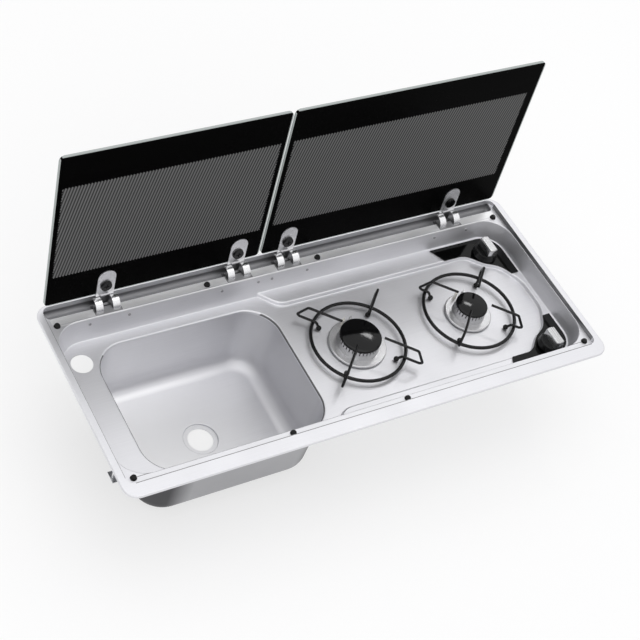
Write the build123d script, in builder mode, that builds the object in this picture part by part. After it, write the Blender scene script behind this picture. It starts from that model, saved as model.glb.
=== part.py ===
"""Drop-in sink and gas hob for a camper kitchen, with two hinged glass lids.

Frame: the origin lies in the plane of the worktop, in the middle of the rim.
X runs from the bowl (left) to the hob (right), Y from the front edge to the
hinges, Z up. The lids are modelled open, as they stand in use.
"""
import math
import os

from build123d import *

os.makedirs("parts", exist_ok=True)

# ---------------------------------------------------------------- driving sizes
# pressed top
OVERALL_LENGTH = 900.0
OVERALL_DEPTH = 370.0
RIM_CORNER = 24.0
RIM_HEIGHT = 4.0
SHEET = 1.0
RIM_SIDE = 12.0
RIM_FRONT = 24.5
RIM_REAR = 4.5
STEP_CORNER = 12.0
LEDGE_DROP = 8.0
LIP_ROUND = 1.2
RIM_EDGE_ROUND = 2.0
FOOT_ROUND = 2.0
FLOOR_EDGE_ROUND = 3.0

# recess that holds the hob and the bowl
RECESS_SIDE_GAP = 1.5
LEDGE_FRONT = 12.5
LEDGE_REAR = 16.7
RECESS_CORNER = 48.0
RECESS_DEPTH = 40.0
DRAFT_SIDE = 8.0
DRAFT_FRONT = 6.0
DRAFT_REAR = 11.5
SHELF_RISE = 7.0
SHELF_LAP = 25.0

# shelf round the hob floor, given from the walls of the recess and from the bowl
FLOOR_FRONT_GAP = 28.5
FLOOR_REAR_GAP = 43.0
FLOOR_RIGHT_GAP = 16.0
FLOOR_LEFT_GAP = 22.0
FLOOR_ENTRY_ROUND = 30.0
FLOOR_ENTRY_RUN = 42.0
FLOOR_ENTRY_RISE = 48.0
FLOOR_TAIL = 65.0
KNOB_BULGE_IN = 73.5
KNOB_BULGE_RUN = 48.5
KNOB_BULGE_END = 20.5
KNOB_BULGE_SHARES = (0.228, 0.363, 0.724)
KNOB_BULGE_ROUNDS = (30.0, 40.0, 45.0, 60.0)

# bowl: it takes the length that the hob leaves
BOWL_LEFT_GAP = 60.5
BOWL_FRONT_GAP = 11.5
BOWL_REAR_GAP = 31.8
BOWL_CORNER = 55.0
BOWL_DEPTH = 132.0
BOWL_DRAFT = 2.0
BOWL_FLOOR_ROUND = 25.0
BOWL_EDGE_ROUND = 3.0
WASTE_OFFSET_X = 0.5
WASTE_OFFSET_Y = 11.5
WASTE_DIAMETER = 44.0
WASTE_SEAT_DIAMETER = 59.0
WASTE_SEAT_DEPTH = 3.0
WASTE_SEAT_ROUND = 1.5
TAP_LEFT_OF_BOWL = 22.0
TAP_BEFORE_REAR = 52.3
TAP_HOLE = 36.0

# hinge trough and hinges
TROUGH_WIDTH = 18.5
TROUGH_DEPTH = 12.0
TROUGH_ROUND = 7.0
TROUGH_END_GAP = 4.0
TROUGH_CORNER = 8.0
PIVOT_BACK = 5.0
PIVOT_DROP = 2.0
LID_OPEN_ANGLE = 94.7
PIN_DIAMETER = 4.0
PIN_LENGTH = 46.0
PIN_HEAD = 6.0
PIN_HEAD_THICK = 1.0
PIN_FIT = 0.05
KNUCKLE_WALL = 2.0
SADDLE_WIDTH = 13.0
SADDLE_OFFSET = 14.75
SADDLE_FOOT = 9.0
SADDLE_STRIP = 1.2
LEAF_NECK_WIDTH = 15.0
LEAF_WIDTH = 31.0
LEAF_LENGTH = 50.0
LEAF_THICK = 1.5
LEAF_OVERHANG = 4.0
RIVET_OFFSET = 34.5
RIVET_DROP = 11.0
RIVET_HEAD = 5.0
RIVET_HEAD_THICK = 1.0
RIVET_HEAD_ROUND = 0.8
BACKING_HEIGHT = 14.0
BACKING_END = 8.0
BACKING_THICK = 1.5
BACKING_CORNER = 3.0
HINGE_INSETS_LEFT = (103.5, 43.0)
HINGE_INSETS_RIGHT = (48.0, 100.5)

# glass lids
GLASS_THICK = 4.0
GLASS_GAP = 2.0
GLASS_SPLIT_OFFSET = 4.5
GLASS_SPLIT_GAP = 4.0
GLASS_NEAR = 21.0
GLASS_SIDE_GAPS = (1.5, 5.5)
GLASS_CORNER = 9.0
GLASS_HOLE = 7.0
PAD_THICK = 0.5
LID_SCREW_FROM_EDGE = 17.7
LID_SCREW_HEAD = 20.0
LID_SCREW_HEAD_THICK = 3.5
LID_SCREW_HEAD_TAPER = 12.0
LID_SCREW_SHANK = 5.0
LID_CROSS_LENGTH = 9.0
LID_CROSS_WIDTH = 1.8
LID_CROSS_DEPTH = 1.5
LID_NUT_THICK = 2.5
LID_NUT_TAPER = 20.0

# bump stops on the ledge
BUFFER_DIAMETER = 11.0
BUFFER_STEM = 5.0
BUFFER_FIT = 0.3
BUFFER_TAPER = 1.3
BUFFER_STEM_LENGTH = 6.0
BUFFER_BARB = 7.0
BUFFER_END_INSET = 14.5
BUFFER_BEFORE_HOB = 100.0
BUFFER_FRONT_INSET = 12.5
BUFFER_REAR_INSET = 16.0

# burners: big on the left, small on the right
BURNER_SPACING = 227.0
BURNER_RIGHT_GAP = 152.5
BURNER_BOWL_GAP = 112.0
BURNER_OFF_MIDDLE = 0.4
BURNER_BASE_DIAMETERS = (100.0, 83.0)
BURNER_CAP_DIAMETERS = (72.0, 56.0)
BURNER_PORTS = (36, 28)
FLOOR_RING_DIAMETER = 178.0
FLOOR_RING_DEPTH = 1.2
CAP_THICK = 6.0
CAP_TOP_BELOW_LEDGE = 12.0
BASE_LIFT = 2.5
BASE_THICK = 3.0
CROWN_WALL = 5.0
CROWN_OVER_CAP = 1.0
CROWN_TAPER = 2.0
CAP_EDGE_ROUND = 2.5
CAP_SPIGOT = 4.0
CAP_FIT = 0.4
PORT_WIDTH = 1.8
PORT_HEIGHT = 7.0
BASE_FOOT_IN = 6.0
CUP_DEPTH = 20.0
CUP_NECK_DIAMETER = 40.0
CUP_WALL = 4.0
CUP_FLANGE_DIAMETER = 66.0
CUP_FLANGE_THICK = 2.0
CUP_WINDOWS = 4
CUP_WINDOW_WIDTH = 14.0
CUP_WINDOW_HEIGHT = 11.0
IGNITER_DIAMETER = 5.0
IGNITER_SPREAD = 7.0
IGNITER_TIP = 1.6
IGNITER_TIP_LENGTH = 4.8
IGNITER_COLLAR = 7.0
IGNITER_BELOW = 16.0
IGNITER_FROM_CROWN = 6.5
HOLE_FIT = 0.5
TRIVET_RING_DIAMETERS = (163.0, 163.0)
TRIVET_WIRE = 4.5
TRIVET_RING_WIRE = 6.0
TRIVET_RING_LIFT = 6.0
TRIVET_TOP_GAP = 1.3
TRIVET_INNER = (37.0, 30.0)
TRIVET_TOP_OUTER = (97.0, 79.0)
TRIVET_LOW_OUTER = (111.0, 94.0)
TRIVET_LOW_Z = -27.0
TRIVET_IN_RADIUS = 76.0
TRIVET_SINK = 0.3
TRIVET_BEND = 5.0
TRIVET_FOOT_RADIUS = 69.0
TRIVET_FOOT_DIAMETER = 9.0

# controls
KNOB_RIGHT_GAP = 53.0
KNOB_FRONT_GAP = 28.7
KNOB_REAR_GAP = 50.6
PANEL_THICK = 2.0
PANEL_WALL_GAP = 5.0
PANEL_EDGE_GAP = 0.5
PANEL_LENGTH = 132.5
PANEL_SLANT = 0.55
PANEL_END_REACH = 50.0
KNOB_SKIRT_DIAMETER = 45.0
KNOB_FACE_DIAMETER = 40.0
KNOB_SKIRT_HEIGHT = 10.5
KNOB_SKIRT_WALL = 2.0
KNOB_SKIRT_ROUND = 1.0
KNOB_GRIP_WIDTH = 16.3
KNOB_GRIP_LENGTH = 36.0
KNOB_GRIP_HEIGHT = 15.0
KNOB_GRIP_ROUND = 2.0
KNOB_PUSH = 3.0
SPINDLE_DIAMETER = 6.0
SPINDLE_HOLE = 8.0
PLUNGER_DIAMETER = 14.0
PLUNGER_THICK = 4.0
RUNNING_GAP = 0.4

# gas train below the hob
VALVE_DIAMETER = 22.0
VALVE_COLLAR = 25.0
VALVE_COLLAR_THICK = 5.0
VALVE_HEIGHT = 40.0
RAIL_DIAMETER = 10.0
RAIL_WALL = 1.2
RAIL_OVERHANG = 14.0
INLET_DIAMETER = 8.0
INLET_WALL = 1.0
INLET_STICK_OUT = 22.0
INLET_NUT = 17.0
INLET_NUT_LENGTH = 6.0
INLET_HOLE = 10.0
PIPE_DIAMETER = 6.0
PIPE_WALL = 1.0
PIPE_BEND = 14.0
PIPE_FROM_BURNERS = (63.0, 46.0)
INJECTOR_DIAMETER = 14.0
INJECTOR_HEIGHT = 10.0
NOZZLE_DIAMETER = 7.0
NOZZLE_HEIGHT = 9.0

# box below the hob
BOX_LEFT_GAP = 19.0
BOX_RIGHT_GAP = 12.5
BOX_FRONT_GAP = 11.0
BOX_REAR_GAP = 18.3
BOX_HEIGHT = 44.5
BOX_CORNER = 12.0
BOX_WALL = 0.8
BOX_SLOTS = 9
BOX_SLOT_WIDTH = 4.0
BOX_SLOT_LENGTH = 60.0
BOX_SLOT_PITCH_Y = 90.0
BOX_EAR = 16.0
SPACER_DIAMETER = 10.0
SPACER_INSETS_X = (42.0, 14.0)
SPACER_INSET_Y = 8.0
BOX_SCREW = 4.0
BOX_SCREW_HEAD = 8.0
BOX_SCREW_HEAD_THICK = 2.4

# seal and fixing clips
SEAL_WIDTH = 2.0
CLIP_WIDTH = 20.0
CLIP_STRIP = 1.2
CLIP_TOP = -1.0
CLIP_DROP = 19.0
CLIP_REACH = 11.0
CLIP_SCREW = 4.0
CLIP_SCREW_HEAD = 7.0
CLIP_SCREW_LENGTH = 14.0
CLIP_SCREW_INSET = 4.5
CLIP_END_GAP = 150.0
CLIP_SIDE_GAP = 32.5

# ------------------------------------------------------------ places worked out
HALF_LENGTH = OVERALL_LENGTH / 2
HALF_DEPTH = OVERALL_DEPTH / 2
RIM_UNDER = RIM_HEIGHT - SHEET
STEP_X = HALF_LENGTH - RIM_SIDE
STEP_FRONT = -HALF_DEPTH + RIM_FRONT
STEP_REAR = HALF_DEPTH - RIM_REAR
LEDGE_Z = RIM_HEIGHT - LEDGE_DROP
DECK_Z = LEDGE_Z - RECESS_DEPTH
SHELF_Z = DECK_Z + SHELF_RISE
BOWL_Z = DECK_Z - BOWL_DEPTH
RECESS_X = STEP_X - RECESS_SIDE_GAP
RECESS_FRONT = STEP_FRONT + LEDGE_FRONT
TROUGH_FRONT = STEP_REAR - TROUGH_WIDTH
TROUGH_Z = LEDGE_Z - TROUGH_DEPTH
RECESS_REAR = TROUGH_FRONT - LEDGE_REAR
DECK_UNDER = DECK_Z - SHEET
SHELF_UNDER = SHELF_Z - SHEET
BURNER_XS = (RECESS_X - BURNER_RIGHT_GAP - BURNER_SPACING, RECESS_X - BURNER_RIGHT_GAP)
BOWL_LEFT = BOWL_LEFT_GAP - RECESS_X
BOWL_RIGHT = BURNER_XS[0] - BURNER_BOWL_GAP
BOWL_FRONT = RECESS_FRONT + BOWL_FRONT_GAP
BOWL_REAR = RECESS_REAR - BOWL_REAR_GAP
BOWL_LENGTH = BOWL_RIGHT - BOWL_LEFT
BOWL_WIDTH = BOWL_REAR - BOWL_FRONT
BOWL_X = (BOWL_LEFT + BOWL_RIGHT) / 2
BOWL_Y = (BOWL_FRONT + BOWL_REAR) / 2
WASTE_SPOT = (BOWL_X + WASTE_OFFSET_X, BOWL_Y - WASTE_OFFSET_Y)
TAP_SPOT = (BOWL_LEFT - TAP_LEFT_OF_BOWL, RECESS_REAR - TAP_BEFORE_REAR)
FLOOR_LEFT = BOWL_RIGHT + FLOOR_LEFT_GAP
FLOOR_RIGHT = RECESS_X - FLOOR_RIGHT_GAP
FLOOR_FRONT = RECESS_FRONT + FLOOR_FRONT_GAP
FLOOR_REAR = RECESS_REAR - FLOOR_REAR_GAP
FLOOR_MID_Y = (FLOOR_FRONT + FLOOR_REAR) / 2
FLOOR_HALF_DEPTH = (FLOOR_REAR - FLOOR_FRONT) / 2
BURNER_LINE_Y = FLOOR_MID_Y - BURNER_OFF_MIDDLE
PIVOT_Y = TROUGH_FRONT + PIVOT_BACK
PIVOT_Z = LEDGE_Z - PIVOT_DROP
GLASS_TOP = RIM_HEIGHT
GLASS_UNDER = GLASS_TOP - GLASS_THICK
GLASS_FRONT = STEP_FRONT + GLASS_GAP
GLASS_LENGTH = PIVOT_Y - GLASS_NEAR - GLASS_FRONT
GLASS_SPLIT_X = BOWL_RIGHT + GLASS_SPLIT_OFFSET
BUFFER_TOP = GLASS_UNDER - BUFFER_FIT
FLOOR_Z = DECK_Z - FLOOR_RING_DEPTH
CAP_TOP = LEDGE_Z - CAP_TOP_BELOW_LEDGE
BASE_Z = FLOOR_Z + BASE_LIFT
PANEL_TOP = SHELF_Z + PANEL_THICK
SKIRT_Z = PANEL_TOP + KNOB_PUSH + RUNNING_GAP
KNOB_FACE_Z = SKIRT_Z + KNOB_SKIRT_HEIGHT
FLOOR_UNDER = FLOOR_Z - SHEET
CUP_Z = FLOOR_UNDER - CUP_DEPTH
INJECTOR_Z = CUP_Z - INJECTOR_HEIGHT
VALVE_Z = SHELF_UNDER - VALVE_HEIGHT
RAIL_Z = VALVE_Z - RAIL_DIAMETER / 2
PIPE_Z = INJECTOR_Z + INJECTOR_HEIGHT / 2
PLUNGER_Z = SHELF_UNDER - VALVE_COLLAR_THICK - RUNNING_GAP
BOX_TOP = DECK_UNDER
BOX_Z = BOX_TOP - BOX_HEIGHT
BOX_LEFT = BOWL_RIGHT + BOX_LEFT_GAP
BOX_RIGHT = RECESS_X - BOX_RIGHT_GAP
BOX_FRONT = RECESS_FRONT + BOX_FRONT_GAP
BOX_REAR = RECESS_REAR - BOX_REAR_GAP

BURNER_SPOTS = [(x, BURNER_LINE_Y) for x in BURNER_XS]
KNOB_X = RECESS_X - KNOB_RIGHT_GAP
KNOB_YS = (RECESS_FRONT + KNOB_FRONT_GAP, RECESS_REAR - KNOB_REAR_GAP)
KNOB_SPOTS = [(KNOB_X, y) for y in KNOB_YS]
LEDGE_MIDS = (STEP_FRONT + LEDGE_FRONT / 2, RECESS_REAR + LEDGE_REAR / 2)
BUFFER_INNER_XS = (BOWL_RIGHT - BUFFER_BEFORE_HOB, BURNER_XS[0])
BUFFER_OUTER_XS = (BUFFER_END_INSET - STEP_X, STEP_X - BUFFER_END_INSET)
BUFFER_OUTER_YS = (STEP_FRONT + BUFFER_FRONT_INSET, TROUGH_FRONT - BUFFER_REAR_INSET)
BUFFER_SPOTS = [(x, y) for x in BUFFER_INNER_XS for y in LEDGE_MIDS]
BUFFER_SPOTS += [(x, y) for x in BUFFER_OUTER_XS for y in BUFFER_OUTER_YS]
CROWN_RADII = [d / 2 + CROWN_OVER_CAP for d in BURNER_CAP_DIAMETERS]
SENSOR_SPOTS = [
    (x, BURNER_LINE_Y + radius + IGNITER_FROM_CROWN) for x, radius in zip(BURNER_XS, CROWN_RADII)
]
PROBE_SPOTS = [(x + side, y) for x, y in SENSOR_SPOTS for side in (-IGNITER_SPREAD, IGNITER_SPREAD)]
UP = (Align.CENTER, Align.CENTER, Align.MIN)
DOWN = (Align.CENTER, Align.CENTER, Align.MAX)
ALONG_X = (0, 90, 0)
ALONG_Y = (-90, 0, 0)

# the lid plane turns about the hinge pins: its X is the pin, its Y runs from
# the pin to the free edge, and its Z looks at the side that faces the sink
LID_TILT = math.radians(180.0 - LID_OPEN_ANGLE)
LID = Plane(
    origin=(0, PIVOT_Y, PIVOT_Z),
    x_dir=(1, 0, 0),
    z_dir=(0, -math.sin(LID_TILT), math.cos(LID_TILT)),
)
GLASS_BACK = -(GLASS_TOP - PIVOT_Z)
GLASS_FACE = -(GLASS_UNDER - PIVOT_Z)
LEAF_BACK = GLASS_FACE + PAD_THICK
LEAF_FACE = LEAF_BACK + LEAF_THICK
NECK_BACK = -(PIN_DIAMETER / 2 + KNUCKLE_WALL)
LID_SCREW_Y = GLASS_NEAR + LID_SCREW_FROM_EDGE
LEAF_NEAR_Y = GLASS_NEAR - LEAF_OVERHANG
LEAF_END_Y = GLASS_NEAR + LEAF_LENGTH - LEAF_WIDTH / 2
LID_EDGES = {
    "left": (-STEP_X + GLASS_SIDE_GAPS[0], GLASS_SPLIT_X - GLASS_SPLIT_GAP / 2),
    "right": (GLASS_SPLIT_X + GLASS_SPLIT_GAP / 2, STEP_X - GLASS_SIDE_GAPS[1]),
}
LID_HINGES = {
    "left": (LID_EDGES["left"][0] + HINGE_INSETS_LEFT[0], LID_EDGES["left"][1] - HINGE_INSETS_LEFT[1]),
    "right": (LID_EDGES["right"][0] + HINGE_INSETS_RIGHT[0], LID_EDGES["right"][1] - HINGE_INSETS_RIGHT[1]),
}
HINGE_XS = LID_HINGES["left"] + LID_HINGES["right"]


def save(builder, name):
    """Label one finished piece and write it to its own file."""
    builder.part.label = name
    export_step(builder.part, f"parts/{name}.step")


def span(x0, x1, y0, y1, corner):
    """A rectangle with rounded corners, given by its edges."""
    with Locations(((x0 + x1) / 2, (y0 + y1) / 2)):
        RectangleRounded(x1 - x0, y1 - y0, corner)


def level_edges(builder, z):
    """The edges that lie wholly at one height."""
    flat = builder.edges().filter_by(lambda e: abs(e.bounding_box().max.Z - z) < 0.01)
    return flat.filter_by(lambda e: abs(e.bounding_box().min.Z - z) < 0.01)


# -------------------------------------------------------------- the pressed top
BOWL_SHRINK = BOWL_DEPTH * math.tan(math.radians(BOWL_DRAFT))


def floor_area(grow):
    """The sunken floor round the burners: a wavy outline that is the same front and rear."""
    bulge_x = FLOOR_RIGHT - KNOB_BULGE_IN
    rear = [
        (FLOOR_LEFT - FLOOR_ENTRY_RUN, FLOOR_HALF_DEPTH + FLOOR_ENTRY_RISE),
        (FLOOR_LEFT, FLOOR_HALF_DEPTH),
        (bulge_x, FLOOR_HALF_DEPTH),
        (FLOOR_RIGHT - KNOB_BULGE_RUN, FLOOR_HALF_DEPTH * (1 - KNOB_BULGE_SHARES[0])),
        (FLOOR_RIGHT - KNOB_BULGE_END, FLOOR_HALF_DEPTH * (1 - KNOB_BULGE_SHARES[1])),
        (FLOOR_RIGHT, FLOOR_HALF_DEPTH * (1 - KNOB_BULGE_SHARES[2])),
    ]
    front = [(x, -y) for x, y in reversed(rear)]
    wave = [(x, FLOOR_MID_Y + y) for x, y in rear + front]
    rounds = [FLOOR_ENTRY_ROUND, *KNOB_BULGE_ROUNDS]
    past_bowl = BOWL_RIGHT - FLOOR_TAIL
    with BuildSketch(Plane.XY) as area:
        with BuildLine():
            FilletPolyline(*wave, radius=rounds + rounds[::-1])
            Polyline(wave[-1], (past_bowl, wave[-1][1]), (past_bowl, wave[0][1]), wave[0])
        make_face()
        if grow:
            offset(amount=grow)
    return area.sketch


def by_wall(edge):
    """True for an edge of the shelf that runs along the foot of the recess wall."""
    spot = edge.position_at(0.5)
    far = abs(spot.Y - FLOOR_MID_Y) > FLOOR_HALF_DEPTH + FOOT_ROUND
    return spot.X > FLOOR_RIGHT + FOOT_ROUND or (spot.X > BURNER_XS[0] and far)


def recess(grow):
    """The recess with its drafted walls, the raised shelf and the bowl under it."""
    deck = DECK_Z - grow
    shelf = SHELF_Z - grow
    sunken = floor_area(grow)
    with BuildPart() as tray:
        with BuildSketch(Plane.XY.offset(LEDGE_Z - grow)):
            side = RECESS_X + grow
            span(-side, side, RECESS_FRONT - grow, RECESS_REAR + grow, RECESS_CORNER + grow)
        with BuildSketch(Plane.XY.offset(deck)):
            side = RECESS_X - DRAFT_SIDE + grow
            front = RECESS_FRONT + DRAFT_FRONT - grow
            span(-side, side, front, RECESS_REAR - DRAFT_REAR + grow, RECESS_CORNER - DRAFT_FRONT + grow)
        loft()
        with BuildSketch(Plane.XY.offset(deck)):
            with Locations((BOWL_RIGHT - SHELF_LAP, 0)):
                Rectangle(OVERALL_LENGTH, OVERALL_DEPTH, align=(Align.MIN, Align.CENTER))
            add(sunken, mode=Mode.SUBTRACT)
        extrude(amount=SHELF_RISE, mode=Mode.SUBTRACT)
    shape = tray.part
    shape = shape.fillet(FOOT_ROUND + grow, level_edges(shape, shelf).filter_by(by_wall))
    shape = shape.fillet(FLOOR_EDGE_ROUND - grow, level_edges(shape, shelf).filter_by(by_wall, reverse=True))
    shape = shape.fillet(FOOT_ROUND + grow, level_edges(shape, deck))
    with BuildPart() as space:
        add(shape)
        with BuildSketch(Plane.XY.offset(deck)):
            with Locations((BOWL_X, BOWL_Y)):
                RectangleRounded(BOWL_LENGTH + 2 * grow, BOWL_WIDTH + 2 * grow, BOWL_CORNER + grow)
        with BuildSketch(Plane.XY.offset(BOWL_Z - grow)):
            with Locations((BOWL_X, BOWL_Y)):
                less = 2 * (grow - BOWL_SHRINK)
                RectangleRounded(BOWL_LENGTH + less, BOWL_WIDTH + less, BOWL_CORNER + less / 2)
        loft()
        fillet(level_edges(space, BOWL_Z - grow), BOWL_FLOOR_ROUND + grow)
        mouth = level_edges(space, deck).filter_by_position(Axis.X, BOWL_LEFT - 2, BOWL_RIGHT + 2)
        mouth = mouth.filter_by_position(Axis.Y, BOWL_FRONT - 2, BOWL_REAR + 2)
        fillet(mouth, BOWL_EDGE_ROUND - grow)
    return space.part


def trough(grow):
    """The channel behind the ledge in which the hinges turn."""
    end = STEP_X - TROUGH_END_GAP + grow
    with BuildPart() as space:
        with BuildSketch(Plane.XY.offset(TROUGH_Z - grow)):
            with Locations((0, (TROUGH_FRONT + STEP_REAR) / 2)):
                Rectangle(2 * end, TROUGH_WIDTH + 2 * grow)
        extrude(amount=TROUGH_DEPTH)
        fillet(space.edges().filter_by(Axis.Z).group_by(Axis.Y)[0], TROUGH_CORNER + grow)
        fillet(space.faces().sort_by(Axis.Z)[0].edges(), TROUGH_ROUND)
    return space.part


def by_lip(edge):
    """True for an edge of the ledge where the sheet turns down, into the recess or the trough."""
    spot = edge.position_at(0.5)
    over_recess = abs(spot.X) < RECESS_X + 0.1 and RECESS_FRONT - 0.1 < spot.Y < RECESS_REAR + 0.1
    return over_recess or (abs(spot.X) < RECESS_X - TROUGH_CORNER and abs(spot.Y - TROUGH_FRONT) < 0.1)


def pressed_space(grow):
    """Everything above the pressed sheet; with grow it also holds the sheet itself."""
    hob_and_bowl = recess(grow)
    hinge_channel = trough(grow)
    with BuildPart() as space:
        with BuildSketch(Plane.XY.offset(LEDGE_Z - grow)):
            span(-STEP_X - grow, STEP_X + grow, STEP_FRONT - grow, STEP_REAR + grow, STEP_CORNER + grow)
        extrude(amount=LEDGE_DROP + grow)
        add(hob_and_bowl)
        add(hinge_channel)
    if grow:
        return space.part
    lips = level_edges(space, LEDGE_Z).filter_by(by_lip)
    return space.part.fillet(LIP_ROUND, lips)


sheet_and_space = pressed_space(SHEET)
open_space = pressed_space(0)

with BuildPart() as sink_top:
    with BuildSketch():
        RectangleRounded(OVERALL_LENGTH, OVERALL_DEPTH, RIM_CORNER)
    extrude(amount=RIM_HEIGHT)
    fillet(level_edges(sink_top, RIM_HEIGHT), RIM_EDGE_ROUND)
    with BuildSketch():
        RectangleRounded(OVERALL_LENGTH - 2 * SHEET, OVERALL_DEPTH - 2 * SHEET, RIM_CORNER - SHEET)
    extrude(amount=RIM_UNDER, mode=Mode.SUBTRACT)
    add(sheet_and_space)
    add(open_space, mode=Mode.SUBTRACT)
    # the seat of the waste strainer, pressed into the floor of the bowl
    with BuildSketch(Plane.XY.offset(BOWL_Z)):
        with Locations(WASTE_SPOT):
            Circle(WASTE_SEAT_DIAMETER / 2 + SHEET)
    extrude(amount=-WASTE_SEAT_DEPTH - SHEET)
    with BuildSketch(Plane.XY.offset(BOWL_Z)):
        with Locations(WASTE_SPOT):
            Circle(WASTE_SEAT_DIAMETER / 2)
    extrude(amount=-WASTE_SEAT_DEPTH, mode=Mode.SUBTRACT)
    fillet(level_edges(sink_top, BOWL_Z).filter_by(GeomType.CIRCLE), WASTE_SEAT_ROUND)
    with Locations((*WASTE_SPOT, BOWL_Z)):
        Hole(WASTE_DIAMETER / 2)
    # the shallow pressed circle under each burner
    with BuildSketch(Plane.XY.offset(DECK_Z)):
        with Locations(*BURNER_SPOTS):
            Circle(FLOOR_RING_DIAMETER / 2 + SHEET)
    extrude(amount=-FLOOR_RING_DEPTH - SHEET)
    with BuildSketch(Plane.XY.offset(DECK_Z)):
        with Locations(*BURNER_SPOTS):
            Circle(FLOOR_RING_DIAMETER / 2)
    extrude(amount=-FLOOR_RING_DEPTH, mode=Mode.SUBTRACT)
    # holes: burner cups, their screws, igniters, flame sensors, tap, spindles, buffers, hinge rivets
    with BuildSketch(Plane.XY.offset(DECK_Z)):
        with Locations(*BURNER_SPOTS):
            Circle(CUP_NECK_DIAMETER / 2 + HOLE_FIT)
        with Locations(*PROBE_SPOTS):
            Circle(IGNITER_DIAMETER / 2 + HOLE_FIT)
    extrude(amount=-FLOOR_RING_DEPTH - 2 * SHEET, mode=Mode.SUBTRACT)
    with BuildSketch(Plane.XY.offset(SHELF_Z)):
        with Locations(TAP_SPOT):
            Circle(TAP_HOLE / 2)
        with Locations(*KNOB_SPOTS):
            Circle(SPINDLE_HOLE / 2)
    extrude(amount=-SHELF_RISE - 2 * SHEET, mode=Mode.SUBTRACT)
    with BuildSketch(Plane.XY.offset(LEDGE_Z)):
        with Locations(*BUFFER_SPOTS):
            Circle(BUFFER_STEM / 2)
    extrude(amount=-2 * SHEET, mode=Mode.SUBTRACT)
save(sink_top, "sink_top")


# ------------------------------------------------------- seal, bump stops, clips
with BuildPart() as rim_seal:
    with BuildSketch():
        RectangleRounded(OVERALL_LENGTH - 2 * SHEET, OVERALL_DEPTH - 2 * SHEET, RIM_CORNER - SHEET)
        inset = SHEET + SEAL_WIDTH
        RectangleRounded(
            OVERALL_LENGTH - 2 * inset, OVERALL_DEPTH - 2 * inset, RIM_CORNER - inset, mode=Mode.SUBTRACT
        )
    extrude(amount=RIM_UNDER)
save(rim_seal, "rim_seal")

with BuildPart() as lid_buffers:
    with Locations(*[(x, y, LEDGE_Z) for x, y in BUFFER_SPOTS]):
        Cone(BUFFER_DIAMETER / 2, BUFFER_DIAMETER / 2 - BUFFER_TAPER, BUFFER_TOP - LEDGE_Z, align=UP)
        Cylinder(BUFFER_STEM / 2, BUFFER_STEM_LENGTH, align=DOWN)
    with Locations(*[(x, y, LEDGE_Z - SHEET) for x, y in BUFFER_SPOTS]):
        Cone(BUFFER_STEM / 2, BUFFER_BARB / 2, BUFFER_STEM_LENGTH / 3, align=DOWN)
save(lid_buffers, "lid_buffers")

CLIP_FOOT_Z = CLIP_TOP - CLIP_DROP
CLIP_XS = (CLIP_END_GAP - HALF_LENGTH, 0, HALF_LENGTH - CLIP_END_GAP)
CLIP_SIDE_Y = STEP_FRONT + CLIP_SIDE_GAP
CLIP_SCREW_SPOT = (CLIP_REACH - CLIP_SCREW_INSET, 0, CLIP_FOOT_Z)
CLIP_PLACES = [Location((x, STEP_FRONT - SHEET, 0), (0, 0, -90)) for x in CLIP_XS]
CLIP_PLACES += [Location((STEP_X + SHEET, CLIP_SIDE_Y, 0))]
CLIP_PLACES += [Location((-STEP_X - SHEET, CLIP_SIDE_Y, 0), (0, 0, 180))]

with BuildPart() as clip:
    with BuildSketch(Plane.XZ):
        with Locations((CLIP_STRIP / 2, CLIP_TOP - CLIP_DROP / 2)):
            Rectangle(CLIP_STRIP, CLIP_DROP)
        with Locations((CLIP_REACH / 2, CLIP_FOOT_Z + CLIP_STRIP / 2)):
            Rectangle(CLIP_REACH, CLIP_STRIP)
    extrude(amount=CLIP_WIDTH / 2, both=True)
    with Locations(CLIP_SCREW_SPOT):
        Cylinder(CLIP_SCREW / 2, CLIP_STRIP, align=UP, mode=Mode.SUBTRACT)

with BuildPart() as clip_screw:
    with Locations(CLIP_SCREW_SPOT):
        Cylinder(CLIP_SCREW / 2, CLIP_SCREW_LENGTH, align=UP)
        Cylinder(CLIP_SCREW_HEAD / 2, CLIP_STRIP * 2, align=DOWN)

with BuildPart() as rim_clips:
    with Locations(*CLIP_PLACES):
        add(clip.part)
save(rim_clips, "rim_clips")

with BuildPart() as clip_screws:
    with Locations(*CLIP_PLACES):
        add(clip_screw.part)
save(clip_screws, "clip_screws")

# ------------------------------------------------------------------------ hinges
SADDLE_XS = [x + side * SADDLE_OFFSET for x in HINGE_XS for side in (-1, 1)]

with BuildPart() as hinge_saddles:
    with Locations(*[(x, TROUGH_FRONT - SADDLE_FOOT, LEDGE_Z) for x in SADDLE_XS]):
        Box(SADDLE_WIDTH, SADDLE_FOOT + PIVOT_BACK, SADDLE_STRIP, align=(Align.CENTER, Align.MIN, Align.MIN))
    with Locations(*[(x, PIVOT_Y, PIVOT_Z) for x in SADDLE_XS]):
        Cylinder(PIVOT_DROP + SADDLE_STRIP, SADDLE_WIDTH, rotation=ALONG_X)
        Cylinder(PIN_DIAMETER / 2 + PIN_FIT, SADDLE_WIDTH, rotation=ALONG_X, mode=Mode.SUBTRACT)
save(hinge_saddles, "hinge_saddles")

with BuildPart() as hinge_pins:
    with Locations(*[(x, PIVOT_Y, PIVOT_Z) for x in HINGE_XS]):
        Cylinder(PIN_DIAMETER / 2, PIN_LENGTH, rotation=ALONG_X)
    ends = [x + side * (PIN_LENGTH + PIN_HEAD_THICK) / 2 for x in HINGE_XS for side in (-1, 1)]
    with Locations(*[(x, PIVOT_Y, PIVOT_Z) for x in ends]):
        Cylinder(PIN_HEAD / 2, PIN_HEAD_THICK, rotation=ALONG_X)
save(hinge_pins, "hinge_pins")

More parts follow.
